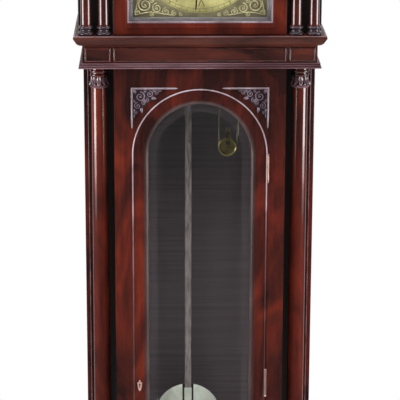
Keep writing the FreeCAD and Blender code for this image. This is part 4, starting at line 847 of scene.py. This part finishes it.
def makeDialMarks():
    ringLow, ringHigh = boxOf("chapter_ring")
    middle = Vector((0, ringLow.y, (ringLow.z + ringHigh.z) / 2))
    facing = Matrix.Rotation(math.pi / 2, 4, "X")
    shape = bmesh.new()
    for hour, text in enumerate(dial["hours"]):
        curve = bpy.data.curves.new("hour_numeral", "FONT")
        curve.body = text
        curve.size = dial["numeral"] * mm
        curve.align_x, curve.align_y = "CENTER", "CENTER"
        curve.extrude = dial["ink"] * mm
        holder = bpy.data.objects.new("hour_numeral", curve)
        mesh = bpy.data.meshes.new_from_object(holder)
        mesh.transform(Matrix.Translation(middle * mm) @ Matrix.Rotation(math.radians(30 * hour), 4, "Y")
                       @ Matrix.Translation((0, 0, dial["numeralRadius"] * mm)) @ facing)
        shape.from_mesh(mesh)
        bpy.data.objects.remove(holder)
        bpy.data.curves.remove(curve)
        bpy.data.meshes.remove(mesh)
    bmesh.ops.remove_doubles(shape, verts=shape.verts, dist=0.001 * mm)
    inner, outer = dial["track"]
    for radius in (dial["innerTrack"], inner, outer):
        sweep(shape, circlePath(0, middle.y, middle.z, radius), halfRound(dial["line"], dial["ink"], steps=2),
              closed=True)
    for minute in range(60):
        wide = dial["fives"] if minute % 5 == 0 else dial["line"]
        turn = Matrix.Translation(middle * mm) @ Matrix.Rotation(math.radians(6 * minute), 4, "Y")
        block(shape, Vector((0, 0, (inner + outer) / 2)), (wide, dial["ink"] * 2, outer - inner), turn)
    keep(shape, "hour_and_minute_marks", "case", "wax")


def makeDialCastings():
    plate = boxOf("dial_ornaments")[1].y
    ringLow, ringHigh = boxOf("chapter_ring")
    centreZ = (ringLow.z + ringHigh.z) / 2
    half = ringHigh.x + dialMargin
    shape = bmesh.new()
    for way in (-1, 1):
        for lift in (-1, 1):
            corner = Vector((way * half, plate, centreZ + lift * half))
            inward, upward = Vector((-way, 0, 0)), Vector((0, 0, -lift))
            for u, w, radius, turns, thick in dial["scrolls"]:
                hand = way * lift if u >= w else -way * lift
                scroll(shape, corner + inward * u + upward * w, math.pi / 2, turns, radius, thick, hand,
                       proud=dial["flatten"])
            for bends in dial["stems"]:
                points = [corner + inward * u + upward * w for u, w in bends]
                leads = [b - a for a, b in zip(points[:1] + points, points[1:] + points[-1:])]
                sides = [lead.normalized().cross(forward) for lead in leads]
                sweep(shape, [(point, side, 1.0) for point, side in zip(points, sides)],
                      halfRound(*dial["stem"], steps=5))
    bossZ = boxOf("dial_ornaments")[1].z - dial["boss"][-1][0]
    lathe(shape, dial["boss"], 0, plate, bossZ, axis=forward)
    settle(shape, easing["weld"])
    keep(shape, "pierced_dial_castings", "case", "castBrass", ["dial_ornaments"])


makeDialMarks()
makeDialCastings()

# Keyhole plate: a pointed leaf of brass with shoulders, cut through for the key
keyPlate = {"edge": [(0, 12.0), (1.1, 10.4), (1.8, 8.2), (3.4, 6.4), (5.0, 5.4), (4.9, 3.6), (3.9, 2.9),
                     (4.3, 1.4), (4.0, -1.5), (3.7, -4.0), (2.9, -6.6), (2.5, -9.0), (1.4, -11.0), (0, -11.8)],
            "hole": [(0, -5.2), (0.7, -5.0), (0.7, 0.2), (1.4, 1.0), (1.6, 2.0), (1.2, 3.0), (0, 3.5)],
            "slot": (1.2, 0.2, 7.0), "slotDrop": 1.4}


def makeKeyPlate():
    low, high = boxOf("escutcheon")
    middle = (low + high) / 2
    shape = bmesh.new()
    for way in (-1, 1):
        outline = [(middle.x + way * u, middle.z + v) for u, v in keyPlate["edge"] + keyPlate["hole"]]
        front = shape.faces.new([shape.verts.new(Vector((x, low.y, z)) * mm) for x, z in outline])
        made = bmesh.ops.extrude_face_region(shape, geom=[front])["geom"]
        bmesh.ops.translate(shape, verts=[v for v in made if isinstance(v, bmesh.types.BMVert)],
                            vec=(0, (high.y - low.y) * mm, 0))
    faceOut(shape)
    keep(shape, "pierced_key_plate", "trunk_door", "plateBrass", ["escutcheon"])
    # painted shade: a near-black block behind the keyhole
    shape = bmesh.new()
    block(shape, Vector((middle.x, high.y, middle.z - keyPlate["slotDrop"])), keyPlate["slot"])
    keep(shape, "key_slot", "trunk_door", "niche")


# Bob: a near-black sheet down its face, painted shade in its channel, and a silvered strip over the rod that
# lies in it
bobFace = {"lining": {"wide": 22.6, "thick": 0.1, "fromTop": 1.5, "behindRod": 0.2},
           "strip": {"wide": 15.0, "thick": 0.5, "fromTop": 7.0}}


def makeBobFace():
    low, high = boxOf("pendulum_bob")
    rodLow, rodHigh = boxOf("pendulum_rod")
    lining, strip = bobFace["lining"], bobFace["strip"]
    for name, size, y, finish in (
            ("bob_channel_lining", lining, rodHigh.y + lining["behindRod"], "niche"),
            ("bob_cover_strip", strip, rodLow.y - strip["thick"] / 2, "silvered")):
        centre = Vector(((low.x + high.x) / 2, y, (low.z + high.z) / 2))
        shape = bmesh.new()
        block(shape, centre, (size["wide"], size["thick"], high.z - low.z - 2 * size["fromTop"]))
        keep(shape, name, "pendulum", finish)


# Pulley wheels: a round hub and rim on a thin web, hollowed round the edge for the gut, as shares of its size
pulley = {"half": [(0.13, 1.0), (0.22, 1.0), (0.26, 0.7), (0.32, 0.35), (0.68, 0.35), (0.74, 0.7),
                   (0.80, 0.95), (0.88, 1.0), (0.96, 0.9), (1.0, 0.7), (0.99, 0.5), (0.88, 0.3)]}


def makePulleys():
    for train in ("going", "strike"):
        node = train + "_pulley_wheel"
        low, high = boxOf(node)
        middle, radius, half = (low + high) / 2, (high.x - low.x) / 2, (high.y - low.y) / 2
        front = [(r * radius, h * half) for r, h in pulley["half"]]
        profile = front + [(r, -h) for r, h in reversed(front)] + front[:1]
        shape = bmesh.new()
        lathe(shape, profile, middle.x, middle.y, middle.z, axis=forward)
        settle(shape, easing["weld"])
        keep(shape, train + "_dished_wheel", nodes[node]["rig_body"], "wheelBrass", [node])


# Gut lines: copied from their nodes and held to no moving body, so they stay still with the case
def makeLines():
    for train in ("going", "strike"):
        node = train + "_line"
        shape = copied(node)
        line = keep(shape, train + "_gut", None, "gut", [node])
        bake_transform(line)


makeKeyPlate()
makeBobFace()
makePulleys()
makeLines()
print("carving, beads, dial and small brasswork made")

# Camera at the photograph's place, looking down at the middle of the trunk
photoView = {"place": (-87.3, -3776.2, 2524.5), "yaw": 1.367, "pitch": 16.078, "roll": 0.174,
             "lens": 177.56, "sensor": 36.0}


def placeCamera(view):
    yaw, pitch, roll = (math.radians(view[k]) for k in ("yaw", "pitch", "roll"))
    ahead = Vector((math.sin(yaw) * math.cos(pitch), math.cos(yaw) * math.cos(pitch), -math.sin(pitch)))
    level = ahead.cross(Vector((0, 0, 1))).normalized()
    rise = level.cross(ahead)
    right = level * math.cos(roll) + rise * math.sin(roll)
    up = rise * math.cos(roll) - level * math.sin(roll)
    lens = bpy.data.cameras.new("photo_view")
    lens.lens = view["lens"]
    lens.sensor_width = view["sensor"]
    camera = added("photo_view", lens)
    turn = Matrix((right, up, -ahead)).transposed()
    camera.matrix_world = Matrix.Translation(Vector(view["place"]) * mm) @ turn.to_4x4()
    bpy.context.scene.camera = camera


placeCamera(photoView)

# Wide soft boxes to either side give the paired lights on the columns, and fainter strips fade them below
studio = {"across": 2350, "ahead": -1000, "wide": 1400,
          "strips": [(1480, 1040, 70.8), (905, 110, 3.6), (795, 110, 0.9)],  # middle height, height, watts
          "aim": (0, 0, 1350), "top": (0, -1500, 4200), "topSize": (2600, 1600), "topWatts": 75.0,
          "floorRadius": 2100, "floorColour": "#f2f1ef", "fill": 0.33, "frontGlow": 0.06, "back": (0.45, 0.9)}


def softBox(name, place, aim, size, watts):
    light = bpy.data.lights.new(name, "AREA")
    light.shape = "RECTANGLE"
    light.size = size[0] * mm
    light.size_y = size[1] * mm
    light.energy = watts
    lamp = added(name, light)
    lamp.location = Vector(place) * mm
    lamp.rotation_euler = (Vector(aim) - Vector(place)).to_track_quat("-Z", "Y").to_euler()


for z, tall, watts in studio["strips"]:
    for side in (-1, 1):
        softBox(f"soft_box_{z}_{side}", (side * studio["across"], studio["ahead"], z), (0, 0, z),
                (studio["wide"], tall), watts)
softBox("soft_box_top", studio["top"], studio["aim"], studio["topSize"], studio["topWatts"])

floorShape = bmesh.new()
bmesh.ops.create_circle(floorShape, cap_ends=True, segments=96, radius=studio["floorRadius"] * mm)
floorMesh = bpy.data.meshes.new("studio_floor")
floorShape.to_mesh(floorMesh)
floorShape.free()
floor = added("studio_floor", floorMesh)
paper = newFinish("white_paper", Roughness=0.9, Base_Color=linear(studio["floorColour"]))[0]
floorMesh.materials.append(paper)

# White behind the object, also through its glass, a dimmer room in front of it, and a low even fill
world = bpy.data.worlds.new("white_studio")
bpy.context.scene.world = world
world.use_nodes = True
sky = world.node_tree
sky.nodes.clear()
rays = put(sky, "LightPath").outputs
direction = put(sky, "TexCoord").outputs["Generated"]
back = put(sky, "SeparateXYZ", {"Vector": direction}).outputs["Y"]
glow = put(sky, "MapRange", {"Value": back, "From Min": studio["back"][0], "From Max": studio["back"][1],
           "To Min": studio["frontGlow"], "To Max": 1.0}).outputs["Result"]
mirror = put(sky, "Math", {0: rays["Is Glossy Ray"], 1: rays["Is Transmission Ray"]},
             operation="MAXIMUM").outputs[0]
shown = put(sky, "Mix", {"Factor": mirror, 2: studio["fill"], 3: glow}).outputs[0]
bounces = put(sky, "Math", {0: rays["Diffuse Depth"], 1: rays["Glossy Depth"]},
              operation="ADD").outputs[0]
direct = put(sky, "Math", {0: bounces, 1: 0.5}, operation="LESS_THAN").outputs[0]
through = put(sky, "Math", {0: rays["Is Transmission Ray"], 1: direct}, operation="MULTIPLY").outputs[0]
seen = put(sky, "Math", {0: rays["Is Camera Ray"], 1: through}, operation="MAXIMUM").outputs[0]
level = put(sky, "Mix", {"Factor": seen, 2: shown, 3: 1.0}).outputs[0]
backdrop = put(sky, "Background", {"Color": (1, 1, 1, 1), "Strength": level})
put(sky, "OutputWorld", {"Surface": backdrop.outputs["Background"]})
bpy.context.scene.view_settings.view_transform = "Standard"
print("studio set")
